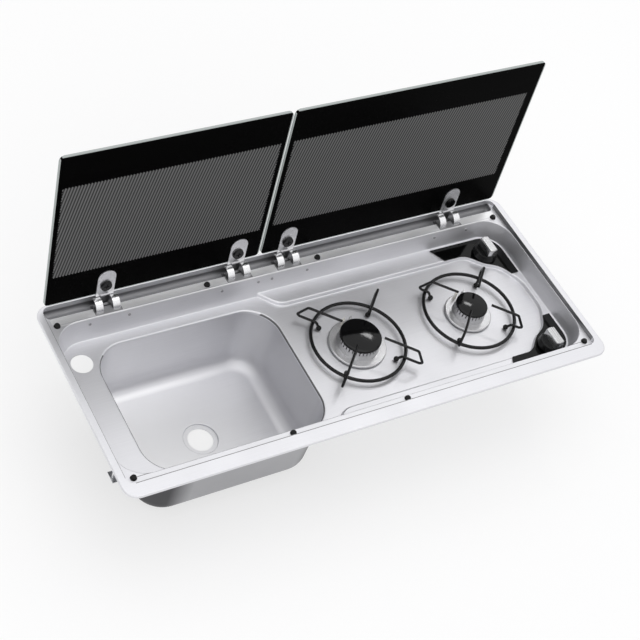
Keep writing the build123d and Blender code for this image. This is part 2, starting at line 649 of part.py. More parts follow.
# the rear wall of the recess leans back; the rivets and their plates stand square to it
WALL_LEAN = math.atan2(DRAFT_REAR, RECESS_DEPTH)
RIVET_Y = RECESS_REAR - RIVET_DROP * math.tan(WALL_LEAN)
WALL_PLANE = Plane(
    origin=(0, RIVET_Y, LEDGE_Z - RIVET_DROP),
    x_dir=(1, 0, 0),
    z_dir=(0, -math.cos(WALL_LEAN), math.sin(WALL_LEAN)),
)
WALL_THICK = SHEET * (math.cos(WALL_LEAN) + math.sin(WALL_LEAN))
RIVET_SPOTS = [(x + side * RIVET_OFFSET, 0) for x in HINGE_XS for side in (-1, 1)]

with BuildPart() as hinge_backing_plates:
    with BuildSketch(WALL_PLANE.offset(-WALL_THICK)):
        with Locations(*[(x, 0) for x in HINGE_XS]):
            RectangleRounded(2 * (RIVET_OFFSET + BACKING_END), BACKING_HEIGHT, BACKING_CORNER)
    extrude(amount=-BACKING_THICK)
save(hinge_backing_plates, "hinge_backing_plates")

with BuildPart() as hinge_rivets:
    with BuildSketch(WALL_PLANE):
        with Locations(*RIVET_SPOTS):
            Circle(RIVET_HEAD / 2)
    extrude(amount=RIVET_HEAD_THICK)
    fillet(hinge_rivets.faces().group_by(Axis.Y)[0].edges(), RIVET_HEAD_ROUND)
save(hinge_rivets, "hinge_rivets")

# -------------------------------------------------------------------------- lids
def tab_outline(near, width):
    """A tab with a round end, from the given distance off the pin."""
    with Locations((0, (near + LEAF_END_Y) / 2)):
        Rectangle(width, LEAF_END_Y - near)
    with Locations((0, LEAF_END_Y)):
        Circle(width / 2)
    with Locations((0, LID_SCREW_Y)):
        Circle(GLASS_HOLE / 2, mode=Mode.SUBTRACT)


for side, (glass_x0, glass_x1) in LID_EDGES.items():
    xs = LID_HINGES[side]
    with BuildPart() as glass:
        with BuildSketch(LID.offset(GLASS_BACK)):
            span(glass_x0, glass_x1, GLASS_NEAR, GLASS_NEAR + GLASS_LENGTH, GLASS_CORNER)
            with Locations(*[(x, LID_SCREW_Y) for x in xs]):
                Circle(GLASS_HOLE / 2, mode=Mode.SUBTRACT)
        extrude(amount=GLASS_THICK)
    save(glass, f"lid_glass_{side}")

    with BuildPart() as pads:
        for x in xs:
            with BuildSketch(LID * Location((x, 0, GLASS_FACE))):
                tab_outline(GLASS_NEAR, LEAF_WIDTH)
            extrude(amount=PAD_THICK)
    save(pads, f"hinge_pads_{side}")

    with BuildPart() as leaves:
        for x in xs:
            with BuildSketch(LID * Location((x, 0, LEAF_BACK))):
                tab_outline(LEAF_NEAR_Y, LEAF_WIDTH)
            extrude(amount=LEAF_THICK)
        with BuildSketch(LID.offset(LEAF_BACK)):
            with Locations(*[(x, LEAF_NEAR_Y + LEAF_THICK / 2) for x in xs]):
                Rectangle(LEAF_NECK_WIDTH, LEAF_THICK)
        extrude(amount=NECK_BACK + LEAF_THICK - LEAF_BACK)
        with BuildSketch(LID.offset(NECK_BACK)):
            with Locations(*[(x, (LEAF_NEAR_Y + LEAF_THICK) / 2) for x in xs]):
                Rectangle(LEAF_NECK_WIDTH, LEAF_NEAR_Y + LEAF_THICK)
        extrude(amount=LEAF_THICK)
        with Locations(*[(x, PIVOT_Y, PIVOT_Z) for x in xs]):
            Cylinder(-NECK_BACK, LEAF_NECK_WIDTH, rotation=ALONG_X)
            Cylinder(PIN_DIAMETER / 2 + PIN_FIT, LEAF_NECK_WIDTH, rotation=ALONG_X, mode=Mode.SUBTRACT)
    save(leaves, f"hinge_leaves_{side}")

    with BuildPart() as caps:
        with BuildSketch(LID.offset(LEAF_FACE)):
            with Locations(*[(x, LID_SCREW_Y) for x in xs]):
                Circle(LID_SCREW_HEAD / 2)
        extrude(amount=LID_SCREW_HEAD_THICK, taper=LID_SCREW_HEAD_TAPER)
        with BuildSketch(LID.offset(LEAF_FACE + LID_SCREW_HEAD_THICK)):
            with Locations(*[(x, LID_SCREW_Y) for x in xs]):
                Rectangle(LID_CROSS_LENGTH, LID_CROSS_WIDTH)
                Rectangle(LID_CROSS_WIDTH, LID_CROSS_LENGTH)
        extrude(amount=-LID_CROSS_DEPTH, mode=Mode.SUBTRACT)
        with BuildSketch(LID.offset(LEAF_FACE)):
            with Locations(*[(x, LID_SCREW_Y) for x in xs]):
                Circle(LID_SCREW_SHANK / 2)
        extrude(amount=-(LEAF_FACE - GLASS_BACK))
    save(caps, f"lid_screws_{side}")

    with BuildPart() as discs:
        with BuildSketch(LID.offset(GLASS_BACK)):
            with Locations(*[(x, LID_SCREW_Y) for x in xs]):
                Circle(LID_SCREW_HEAD / 2)
        extrude(amount=-LID_NUT_THICK, taper=LID_NUT_TAPER)
    save(discs, f"lid_back_discs_{side}")


# ----------------------------------------------------------------------- burners
SIDES = ("left", "right")
CAP_Z = CAP_TOP - CAP_THICK
BASE_TOP = BASE_Z + BASE_THICK
FLANGE_Z = FLOOR_UNDER - CUP_FLANGE_THICK
CUP_BORE = CUP_NECK_DIAMETER / 2 - CUP_WALL
PROBE_Z = FLANGE_Z - IGNITER_BELOW
TIP_Z = CAP_Z - IGNITER_TIP_LENGTH

for index, side in enumerate(SIDES):
    x, y = BURNER_SPOTS[index]
    base_radius = BURNER_BASE_DIAMETERS[index] / 2
    cap_radius = BURNER_CAP_DIAMETERS[index] / 2
    crown_radius = CROWN_RADII[index]
    crown_top_radius = crown_radius - CROWN_TAPER
    crown_bore = crown_top_radius - CROWN_WALL
    sensor_x = [x - IGNITER_SPREAD, x + IGNITER_SPREAD]
    sensor_y = SENSOR_SPOTS[index][1]

    with BuildPart() as cup:
        with Locations((x, y, CUP_Z)):
            Cylinder(CUP_NECK_DIAMETER / 2, BASE_TOP - CUP_Z, align=UP)
        with Locations((x, y, FLANGE_Z)):
            Cylinder(CUP_FLANGE_DIAMETER / 2, CUP_FLANGE_THICK, align=UP)
        with Locations((x, y, CUP_Z + CUP_WALL)):
            Cylinder(CUP_BORE, BASE_TOP - CUP_Z - CUP_WALL, align=UP, mode=Mode.SUBTRACT)
        with Locations((x, y, CUP_Z)):
            Cylinder(NOZZLE_DIAMETER / 2 + RUNNING_GAP / 2, CUP_WALL, align=UP, mode=Mode.SUBTRACT)
        with Locations((x, y, CUP_Z + CUP_WALL + CUP_WINDOW_HEIGHT / 2)):
            with PolarLocations(CUP_NECK_DIAMETER / 2, CUP_WINDOWS, start_angle=45):
                Box(3 * CUP_WALL, CUP_WINDOW_WIDTH, CUP_WINDOW_HEIGHT, mode=Mode.SUBTRACT)
        with Locations(*[(spot, sensor_y, FLANGE_Z) for spot in sensor_x]):
            Cylinder(IGNITER_DIAMETER / 2 + HOLE_FIT, CUP_FLANGE_THICK, align=UP, mode=Mode.SUBTRACT)
    save(cup, f"burner_cup_{side}")

    with BuildPart() as base:
        with Locations((x, y, FLOOR_Z)):
            Cylinder(base_radius - BASE_FOOT_IN, BASE_Z - FLOOR_Z, align=UP)
        with Locations((x, y, BASE_Z)):
            Cylinder(base_radius, BASE_THICK, align=UP)
        fillet(level_edges(base, BASE_TOP), BASE_THICK / 2)
        with Locations((x, y, FLOOR_Z)):
            Cylinder(CUP_NECK_DIAMETER / 2, BASE_TOP - FLOOR_Z, align=UP, mode=Mode.SUBTRACT)
        with Locations(*[(spot, sensor_y, FLOOR_Z) for spot in sensor_x]):
            Cylinder(IGNITER_DIAMETER / 2 + HOLE_FIT, BASE_TOP - FLOOR_Z, align=UP, mode=Mode.SUBTRACT)
    save(base, f"burner_base_{side}")

    with BuildPart() as crown:
        with Locations((x, y, BASE_TOP)):
            Cone(crown_radius, crown_top_radius, CAP_Z - BASE_TOP, align=UP)
            Cylinder(crown_bore, CAP_Z - BASE_TOP, align=UP, mode=Mode.SUBTRACT)
        with Locations((x, y, CAP_Z - PORT_HEIGHT / 2)):
            with PolarLocations(crown_top_radius, BURNER_PORTS[index]):
                Box(4 * CROWN_WALL, PORT_WIDTH, PORT_HEIGHT, mode=Mode.SUBTRACT)
    save(crown, f"burner_crown_{side}")

    with BuildPart() as cap:
        with Locations((x, y, CAP_Z)):
            Cylinder(cap_radius, CAP_THICK, align=UP)
        fillet(level_edges(cap, CAP_TOP), CAP_EDGE_ROUND)
        with Locations((x, y, CAP_Z)):
            Cylinder(crown_bore - CAP_FIT, CAP_SPIGOT, align=DOWN)
    save(cap, f"burner_cap_{side}")

    with BuildPart() as injector:
        with BuildSketch(Plane.XY.offset(INJECTOR_Z)):
            with Locations((x, y)):
                RegularPolygon(INJECTOR_DIAMETER / 2, 6, major_radius=False, rotation=30)
        extrude(amount=INJECTOR_HEIGHT)
        with Locations((x, y, CUP_Z)):
            Cylinder(NOZZLE_DIAMETER / 2, NOZZLE_HEIGHT, align=UP)
    save(injector, f"injector_{side}")

    for name, spot in zip(("igniter", "flame_sensor"), sensor_x):
        with BuildPart() as probe:
            with Locations((spot, sensor_y, PROBE_Z)):
                Cylinder(IGNITER_DIAMETER / 2, TIP_Z - PROBE_Z, align=UP)
            with Locations((spot, sensor_y, TIP_Z)):
                Cylinder(IGNITER_TIP / 2, IGNITER_TIP_LENGTH, align=UP)
            with Locations((spot, sensor_y, FLANGE_Z)):
                Cylinder(IGNITER_COLLAR / 2, CUP_FLANGE_THICK, align=DOWN)
        save(probe, f"{name}_{side}")

# ------------------------------------------------------------------ pan supports
WIRE = TRIVET_WIRE / 2
RING_WIRE = TRIVET_RING_WIRE / 2
RING_Z = DECK_Z + TRIVET_RING_LIFT + RING_WIRE
TOP_BAR_Z = GLASS_UNDER - TRIVET_TOP_GAP - WIRE
LOW_BAR_Z = RING_Z + RING_WIRE + WIRE - TRIVET_SINK
FOOT_RADIUS = TRIVET_FOOT_DIAMETER / 2

for index, side in enumerate(SIDES):
    x, y = BURNER_SPOTS[index]
    with BuildPart() as prong:
        with BuildLine(Plane.XZ) as run:
            FilletPolyline(
                (TRIVET_INNER[index], TOP_BAR_Z),
                (TRIVET_TOP_OUTER[index], TOP_BAR_Z),
                (TRIVET_LOW_OUTER[index], TRIVET_LOW_Z),
                (TRIVET_LOW_OUTER[index] - TRIVET_BEND, LOW_BAR_Z),
                (TRIVET_IN_RADIUS, LOW_BAR_Z),
                (TRIVET_FOOT_RADIUS, FLOOR_Z + FOOT_RADIUS),
                radius=[TRIVET_BEND, TRIVET_BEND / 2, TRIVET_BEND / 2, TRIVET_BEND],
            )
        with BuildSketch(Plane(origin=run.line @ 0, z_dir=run.line % 0)):
            Circle(WIRE)
        sweep()
    with BuildPart() as foot:
        with Locations((TRIVET_FOOT_RADIUS, 0, FLOOR_Z + FOOT_RADIUS)):
            Sphere(FOOT_RADIUS, rotation=(0, 0, 90))
        split(bisect_by=Plane.XY.offset(FLOOR_Z), keep=Keep.TOP)
        add(prong.part, mode=Mode.SUBTRACT)
    with BuildPart() as support:
        with Locations((x, y, RING_Z)):
            Torus(TRIVET_RING_DIAMETERS[index] / 2, RING_WIRE)
        with Locations((x, y, 0)):
            with PolarLocations(0, 4, start_angle=45):
                add(prong.part)
    save(support, f"pan_support_{side}")

    with BuildPart() as feet:
        with Locations((x, y, 0)):
            with PolarLocations(0, 4, start_angle=45):
                add(foot.part)
    save(feet, f"pan_feet_{side}")

# ---------------------------------------------------------------------- controls
KNOB_SIDES = ("front", "rear")
PANEL_SIGN = {"front": -1, "rear": 1}

for side, (knob_x, knob_y) in zip(KNOB_SIDES, KNOB_SPOTS):
    sign = PANEL_SIGN[side]
    edge_y = FLOOR_MID_Y + sign * FLOOR_HALF_DEPTH
    panel_left = RECESS_X - PANEL_LENGTH
    cut_floor = floor_area(PANEL_EDGE_GAP)
    with BuildPart() as panel:
        with BuildSketch(Plane.XY.offset(SHELF_Z)):
            with BuildLine():
                near = FLOOR_MID_Y + sign * PANEL_END_REACH
                far = sign * HALF_DEPTH
                Polyline(
                    (HALF_LENGTH, near),
                    (KNOB_X, near),
                    (panel_left, edge_y),
                    (panel_left - PANEL_SLANT * abs(far - edge_y), far),
                    (HALF_LENGTH, far),
                    close=True,
                )
            make_face()
            wall_share = SHELF_RISE / RECESS_DEPTH
            shelf_right = RECESS_X - DRAFT_SIDE * (1 - wall_share) - PANEL_WALL_GAP
            shelf_front = RECESS_FRONT + DRAFT_FRONT * (1 - wall_share) + PANEL_WALL_GAP
            shelf_rear = RECESS_REAR - DRAFT_REAR * (1 - wall_share) - PANEL_WALL_GAP
            with Locations((0, (shelf_front + shelf_rear) / 2)):
                RectangleRounded(
                    2 * shelf_right,
                    shelf_rear - shelf_front,
                    RECESS_CORNER - DRAFT_FRONT - PANEL_WALL_GAP,
                    mode=Mode.INTERSECT,
                )
            add(cut_floor, mode=Mode.SUBTRACT)
            with Locations((knob_x, knob_y)):
                Circle(SPINDLE_HOLE / 2, mode=Mode.SUBTRACT)
        extrude(amount=PANEL_THICK)
    save(panel, f"control_panel_{side}")

    with BuildPart() as skirt:
        with Locations((knob_x, knob_y, SKIRT_Z)):
            Cone(KNOB_SKIRT_DIAMETER / 2, KNOB_FACE_DIAMETER / 2, KNOB_SKIRT_HEIGHT, align=UP)
        fillet(level_edges(skirt, KNOB_FACE_Z), KNOB_SKIRT_ROUND)
        with Locations((knob_x, knob_y, SKIRT_Z)):
            hollow = KNOB_FACE_DIAMETER / 2 - KNOB_SKIRT_WALL
            Cylinder(hollow, KNOB_SKIRT_HEIGHT / 2, align=UP, mode=Mode.SUBTRACT)
            Cylinder(SPINDLE_DIAMETER, KNOB_SKIRT_HEIGHT / 2, align=UP)
            Cylinder(SPINDLE_DIAMETER / 2, KNOB_SKIRT_HEIGHT, align=UP, mode=Mode.SUBTRACT)
    save(skirt, f"knob_skirt_{side}")

    with BuildPart() as grip:
        with BuildSketch(Plane.XY.offset(KNOB_FACE_Z)):
            with Locations((knob_x, knob_y)):
                Rectangle(KNOB_GRIP_WIDTH, KNOB_GRIP_LENGTH)
                Circle(KNOB_GRIP_LENGTH / 2, mode=Mode.INTERSECT)
        extrude(amount=KNOB_GRIP_HEIGHT)
        fillet(level_edges(grip, KNOB_FACE_Z + KNOB_GRIP_HEIGHT), KNOB_GRIP_ROUND)
    save(grip, f"knob_grip_{side}")

    with BuildPart() as spindle:
        with Locations((knob_x, knob_y, PLUNGER_Z)):
            Cylinder(SPINDLE_DIAMETER / 2, KNOB_FACE_Z - PLUNGER_Z, align=UP)
    save(spindle, f"valve_spindle_{side}")

    with BuildPart() as plunger:
        with Locations((knob_x, knob_y, PLUNGER_Z)):
            Cylinder(PLUNGER_DIAMETER / 2, PLUNGER_THICK, align=DOWN)
    save(plunger, f"valve_plunger_{side}")

    with BuildPart() as valve:
        with Locations((knob_x, knob_y, VALVE_Z)):
            Cylinder(VALVE_DIAMETER / 2, VALVE_HEIGHT, align=UP)
        with Locations((knob_x, knob_y, SHELF_UNDER)):
            Box(VALVE_COLLAR, VALVE_DIAMETER, VALVE_COLLAR_THICK, align=DOWN)
            Cylinder(SPINDLE_DIAMETER / 2 + RUNNING_GAP, VALVE_COLLAR_THICK, align=DOWN, mode=Mode.SUBTRACT)
        with Locations((knob_x, knob_y, SHELF_UNDER - VALVE_COLLAR_THICK)):
            chamber = PLUNGER_THICK + KNOB_PUSH + 2 * RUNNING_GAP
            Cylinder(PLUNGER_DIAMETER / 2 + RUNNING_GAP, chamber, align=DOWN, mode=Mode.SUBTRACT)
    save(valve, f"gas_valve_{side}")

# --------------------------------------------------------- gas train below the hob
RAIL_FRONT = KNOB_YS[0] - RAIL_OVERHANG
RAIL_REAR = KNOB_YS[1] + RAIL_OVERHANG
INLET_END = BOX_REAR + INLET_STICK_OUT

with BuildPart() as gas_rail:
    with Locations((KNOB_X, RAIL_FRONT, RAIL_Z)):
        Cylinder(RAIL_DIAMETER / 2, RAIL_REAR - RAIL_FRONT, rotation=ALONG_Y, align=UP)
    with Locations((KNOB_X, RAIL_FRONT + RAIL_WALL, RAIL_Z)):
        bore = RAIL_DIAMETER / 2 - RAIL_WALL
        bore_length = RAIL_REAR - RAIL_FRONT - 2 * RAIL_WALL
        Cylinder(bore, bore_length, rotation=ALONG_Y, align=UP, mode=Mode.SUBTRACT)
save(gas_rail, "gas_rail")

with BuildPart() as gas_inlet:
    with Locations((KNOB_X, RAIL_REAR, RAIL_Z)):
        Cylinder(INLET_DIAMETER / 2, INLET_END - RAIL_REAR, rotation=ALONG_Y, align=UP)
    with BuildSketch(Plane(origin=(KNOB_X, BOX_REAR, RAIL_Z), z_dir=(0, 1, 0))):
        RegularPolygon(INLET_NUT / 2, 6, major_radius=False)
    extrude(amount=INLET_NUT_LENGTH)
    with Locations((KNOB_X, RAIL_REAR, RAIL_Z)):
        bore = INLET_DIAMETER / 2 - INLET_WALL
        Cylinder(bore, INLET_END - RAIL_REAR, rotation=ALONG_Y, align=UP, mode=Mode.SUBTRACT)
save(gas_inlet, "gas_inlet")

for index, side in enumerate(SIDES):
    injector_x, injector_y = BURNER_SPOTS[index]
    valve_x, valve_y = KNOB_SPOTS[index]
    pipe_x = injector_x + PIPE_FROM_BURNERS[index]
    start = (valve_x - VALVE_DIAMETER / 2, valve_y, PIPE_Z)
    end = (injector_x + INJECTOR_DIAMETER / 2, injector_y, PIPE_Z)
    with BuildPart() as pipe:
        with BuildLine() as route:
            FilletPolyline(
                start,
                (pipe_x, valve_y, PIPE_Z),
                (pipe_x, injector_y, PIPE_Z),
                end,
                radius=PIPE_BEND,
            )
        with BuildSketch(Plane(origin=start, z_dir=(-1, 0, 0))):
            Circle(PIPE_DIAMETER / 2)
            Circle(PIPE_DIAMETER / 2 - PIPE_WALL, mode=Mode.SUBTRACT)
        sweep()
    save(pipe, f"gas_pipe_{side}")

# ------------------------------------------------------------- box below the hob
SPACER_XS = (BOX_LEFT + SPACER_INSETS_X[0], BOX_RIGHT - SPACER_INSETS_X[1])
SPACER_YS = (BOX_FRONT + SPACER_INSET_Y, BOX_REAR - SPACER_INSET_Y)
SPACER_SPOTS = [(x, y) for x in SPACER_XS for y in SPACER_YS]

with BuildPart() as burner_box:
    with BuildSketch(Plane.XY.offset(BOX_Z)):
        span(BOX_LEFT, BOX_RIGHT, BOX_FRONT, BOX_REAR, BOX_CORNER)
    extrude(amount=BOX_HEIGHT)
    with BuildSketch(Plane.XY.offset(BOX_Z + BOX_WALL)):
        front = BOX_FRONT + BOX_WALL
        span(BOX_LEFT + BOX_WALL, BOX_RIGHT - BOX_WALL, front, BOX_REAR - BOX_WALL, BOX_CORNER - BOX_WALL)
    extrude(amount=BOX_HEIGHT, mode=Mode.SUBTRACT)
    # ears that carry the box at the spacers
    with Locations(*[(x, y, BOX_TOP) for x, y in SPACER_SPOTS]):
        Box(BOX_EAR, BOX_EAR, 2 * BOX_WALL, align=DOWN)
        Cylinder(BOX_SCREW / 2, 2 * BOX_WALL, align=DOWN, mode=Mode.SUBTRACT)
    # air slots in the floor and the hole for the gas inlet
    slot_pitch = (BOX_RIGHT - BOX_LEFT) / (BOX_SLOTS + 1)
    with Locations(((BOX_LEFT + BOX_RIGHT) / 2, (BOX_FRONT + BOX_REAR) / 2, BOX_Z)):
        with GridLocations(slot_pitch, BOX_SLOT_PITCH_Y, BOX_SLOTS, 2):
            Box(BOX_SLOT_WIDTH, BOX_SLOT_LENGTH, BOX_WALL, align=UP, mode=Mode.SUBTRACT)
    with Locations((KNOB_X, BOX_REAR, RAIL_Z)):
        Cylinder(INLET_HOLE / 2, 4 * BOX_WALL, rotation=ALONG_Y, mode=Mode.SUBTRACT)
save(burner_box, "burner_box")

with BuildPart() as box_spacers:
    with Locations(*[(x, y, BOX_TOP) for x, y in SPACER_SPOTS]):
        Cylinder(SPACER_DIAMETER / 2, SHELF_UNDER - BOX_TOP, align=UP)
        Cylinder(BOX_SCREW / 2, SHELF_UNDER - BOX_TOP - BOX_WALL, align=UP, mode=Mode.SUBTRACT)
save(box_spacers, "box_spacers")

with BuildPart() as box_screws:
    with Locations(*[(x, y, BOX_TOP - 2 * BOX_WALL) for x, y in SPACER_SPOTS]):
        Cylinder(BOX_SCREW / 2, SHELF_UNDER - BOX_TOP, align=UP)
        Cylinder(BOX_SCREW_HEAD / 2, BOX_SCREW_HEAD_THICK, align=DOWN)
save(box_screws, "box_screws")
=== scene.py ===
# %% [markdown]
# # A camper sink and gas hob with glass lids
# The real object is one sheet of stainless steel, pressed into a bowl on the left
# and a shallow tray with two burners on the right. Two dark glass lids stand open
# behind it on four small hinges. The solids come from the engineering model, so
# this lesson is about finish: brushed steel, printed glass, enamel, cast metal,
# and the light that lets each of them be told apart.

# %% Load the engineering model
import math

import bpy
import bmesh
from mathutils import Matrix, Vector


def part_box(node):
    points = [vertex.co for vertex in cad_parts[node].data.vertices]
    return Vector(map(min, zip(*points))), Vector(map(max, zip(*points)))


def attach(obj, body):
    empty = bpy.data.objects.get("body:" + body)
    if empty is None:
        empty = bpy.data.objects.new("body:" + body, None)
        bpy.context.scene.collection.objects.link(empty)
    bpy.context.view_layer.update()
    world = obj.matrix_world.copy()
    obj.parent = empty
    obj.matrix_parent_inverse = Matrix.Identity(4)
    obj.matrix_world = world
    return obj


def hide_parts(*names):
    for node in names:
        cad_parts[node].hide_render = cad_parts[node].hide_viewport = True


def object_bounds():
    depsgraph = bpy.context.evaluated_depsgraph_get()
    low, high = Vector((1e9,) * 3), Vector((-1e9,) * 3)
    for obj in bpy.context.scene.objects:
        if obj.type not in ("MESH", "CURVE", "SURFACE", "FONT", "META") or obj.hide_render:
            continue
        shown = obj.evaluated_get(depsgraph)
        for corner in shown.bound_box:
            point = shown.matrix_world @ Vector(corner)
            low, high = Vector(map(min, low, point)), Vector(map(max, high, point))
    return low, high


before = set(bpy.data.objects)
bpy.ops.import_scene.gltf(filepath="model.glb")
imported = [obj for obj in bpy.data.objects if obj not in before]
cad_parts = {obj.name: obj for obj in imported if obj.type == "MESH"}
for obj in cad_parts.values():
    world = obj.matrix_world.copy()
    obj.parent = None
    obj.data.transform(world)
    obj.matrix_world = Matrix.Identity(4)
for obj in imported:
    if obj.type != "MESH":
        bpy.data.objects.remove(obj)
cad_box = [[float(value) for value in corner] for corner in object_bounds()]
print("box in metres:", cad_box)

# %% [markdown]
# ## The photographer's place
# A camera is described by where it stands, how it is turned and how long its lens
# is. These came from matching straight edges of the sink with the picture. The
# picture is cut off-centre from a larger frame, so the lens carries a small shift.

# %% The camera
IMAGE_SIZE = 640
FOCAL_PIXELS = 1452.37
CENTRE_PIXEL = (209.94, 332.07)
CAMERA_PLACE = Vector((-1.1475, -1.0857, 1.7657))
LOOK_RIGHT = Vector((0.88103, -0.43100, 0.19500))
LOOK_DOWN = Vector((-0.23263, -0.75366, -0.61472))
LOOK_AHEAD = Vector((0.41191, 0.49623, -0.76426))

lens = bpy.data.cameras.new("studio_camera")
lens.sensor_width = 36.0
lens.lens = lens.sensor_width * FOCAL_PIXELS / IMAGE_SIZE
lens.shift_x = (IMAGE_SIZE / 2 - CENTRE_PIXEL[0]) / IMAGE_SIZE
lens.shift_y = (CENTRE_PIXEL[1] - IMAGE_SIZE / 2) / IMAGE_SIZE
lens.clip_end = 50
camera = bpy.data.objects.new("studio_camera", lens)
turn = Matrix((LOOK_RIGHT, -LOOK_DOWN, -LOOK_AHEAD)).transposed()
camera.matrix_world = Matrix.Translation(CAMERA_PLACE) @ turn.to_4x4()
bpy.context.scene.collection.objects.link(camera)
bpy.context.scene.camera = camera
print("lens in millimetres:", round(lens.lens, 2))

# %% [markdown]
# ## Small tools for finishes
# Every finish is a little tree of nodes that ends in one Principled shader. A few
# helpers keep the trees short. Some start a finish and read a noise at the
# object's own scale. Others do sums with numbers and vectors, so that a finish can
# tell where on the object a point lies. The last ones mix two values or colours.

# %% Helpers for node trees
def start_finish(name, colour, metallic=0.0, roughness=0.5, **sockets):
    """A new material with one Principled shader; further sockets are set by name."""
    finish = bpy.data.materials.new(name)
    finish.use_nodes = True
    shader = finish.node_tree.nodes["Principled BSDF"]
    shader.inputs["Base Color"].default_value = (*colour, 1.0)
    shader.inputs["Metallic"].default_value = metallic
    shader.inputs["Roughness"].default_value = roughness
    for socket, value in sockets.items():
        shader.inputs[socket.replace("_", " ")].default_value = value
    return finish, finish.node_tree, shader


def node(tree, kind, **settings):
    """Add one node and set its properties."""
    made = tree.nodes.new(kind)
    for key, value in settings.items():
        setattr(made, key, value)
    return made


def vector_maths(tree, operation, first, second=None):
    """One sum of vectors; the second is a socket or three fixed numbers."""
    made = node(tree, "ShaderNodeVectorMath", operation=operation)
    tree.links.new(first, made.inputs[0])
    if isinstance(second, bpy.types.NodeSocket):
        tree.links.new(second, made.inputs[1])
    elif second is not None:
        made.inputs[1].default_value = second
    return made


def split(tree, vector):
    """The three numbers of a vector."""
    made = node(tree, "ShaderNodeSeparateXYZ")
    tree.links.new(vector, made.inputs["Vector"])
    return made.outputs["X"], made.outputs["Y"], made.outputs["Z"]


def maths(tree, operation, *values, clamp=False):
    """One sum or comparison of numbers and sockets."""
    made = node(tree, "ShaderNodeMath", operation=operation, use_clamp=clamp)
    for socket, value in zip(made.inputs, values):
        if isinstance(value, (int, float)):
            socket.default_value = value
        else:
            tree.links.new(value, socket)
    return made.outputs["Value"]


def all_of(tree, first, *others):
    """The product of several zones, each a number from 0 to 1."""
    for other in others:
        first = maths(tree, "MULTIPLY", first, other)
    return first


def between(tree, value, low, high):
    """One where the value lies between two numbers, else zero."""
    return all_of(
        tree, maths(tree, "GREATER_THAN", value, low), maths(tree, "LESS_THAN", value, high),
    )


def mix(tree, data_type, share, first, second):
    """Mix two values, each a socket or fixed, by a number from 0 to 1."""
    made = node(tree, "ShaderNodeMix", data_type=data_type)
    tree.links.new(share, made.inputs["Factor"])
    for key, value in (("A", first), ("B", second)):
        if isinstance(value, tuple):
            made.inputs[key].default_value = (*value, 1.0)
        else:
            tree.links.new(value, made.inputs[key])
    return made.outputs["Result"]


def mix_colours(tree, share, first, second):
    """Mix two colours by a number from 0 to 1."""
    return mix(tree, "RGBA", share, first, second)


def mix_numbers(tree, share, first, second):
    """Mix two numbers, both sockets, by a number from 0 to 1."""
    return mix(tree, "FLOAT", share, first, second)


def place_in_object(tree, stretch=(1.0, 1.0, 1.0)):
    """The point on the object in metres, stretched along each axis."""
    where = node(tree, "ShaderNodeTexCoord")
    return vector_maths(tree, "MULTIPLY", where.outputs["Object"], stretch).outputs["Vector"]


def noise(tree, vector, scale, detail=3.0, roughness=0.55):
    """Soft noise at a scale given in cells per metre."""
    made = node(tree, "ShaderNodeTexNoise")
    made.inputs["Scale"].default_value = scale
    made.inputs["Detail"].default_value = detail
    made.inputs["Roughness"].default_value = roughness
    tree.links.new(vector, made.inputs["Vector"])
    return made.outputs["Fac"]


def spread(tree, value, low, high, start=0.3, end=0.7):
    """Map a noise from start..end onto low..high."""
    made = node(tree, "ShaderNodeMapRange")
    made.inputs["From Min"].default_value = start
    made.inputs["From Max"].default_value = end
    made.inputs["To Min"].default_value = low
    made.inputs["To Max"].default_value = high
    tree.links.new(value, made.inputs["Value"])
    return made.outputs["Result"]


def grade(tree, value, dark, light, start=0.3, end=0.7):
    """Mix two colours by a noise."""
    made = node(tree, "ShaderNodeValToRGB")
    made.color_ramp.elements[0].position = start
    made.color_ramp.elements[0].color = (*dark, 1.0)
    made.color_ramp.elements[1].position = end
    made.color_ramp.elements[1].color = (*light, 1.0)
    tree.links.new(value, made.inputs["Fac"])
    return made.outputs["Color"]


def bump(tree, shader, value, strength, distance):
    """Tilt the surface by the slope of a noise; distance is in metres."""
    made = node(tree, "ShaderNodeBump")
    made.inputs["Strength"].default_value = strength
    made.inputs["Distance"].default_value = distance
    tree.links.new(value, made.inputs["Height"])
    tree.links.new(made.outputs["Normal"], shader.inputs["Normal"])
    return made


def dress(finish, *names):
    """Give CAD nodes a finish by filling their material slots."""
    for name in names:
        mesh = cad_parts[name].data
        mesh.materials.clear()
        mesh.materials.append(finish)
    print(finish.name, "on", ", ".join(names))


print("helpers ready; finishes so far:", len(bpy.data.materials))

# %% [markdown]
# ## Brushed stainless steel
# The sheet was brushed along its length before it was pressed, so its scratches
# are fine lines along X. Real scratches are far too small to model, so a noise
# stretched many times along X drives three things at once: how rough the metal
# is, how light it is, and a very faint bump. A second, broad noise keeps the big
# surfaces from looking like one flat tone.

# %% Brush the steel
STEEL_DARK = (0.76, 0.76, 0.785)
STEEL_LIGHT = (0.82, 0.82, 0.845)
BRUSHING = (14.0, 2200.0, 2200.0)

steel, tree, shader = start_finish("brushed_stainless", STEEL_LIGHT, 1.0, 0.46)
lines = noise(tree, place_in_object(tree, BRUSHING), 1.0, 3.0, 0.6)
broad = noise(tree, place_in_object(tree), 11.0, 2.0)
brushed_roughness = maths(
    tree, "ADD", spread(tree, lines, -0.03, 0.03), spread(tree, broad, 0.47, 0.54),
)
mill_roughness = spread(tree, broad, 0.44, 0.56)
top_colour = grade(tree, lines, STEEL_DARK, STEEL_LIGHT)
bump(tree, shader, lines, 0.05, 0.0002)
print("brushed", round(BRUSHING[1] / BRUSHING[0]), "times finer across than along")

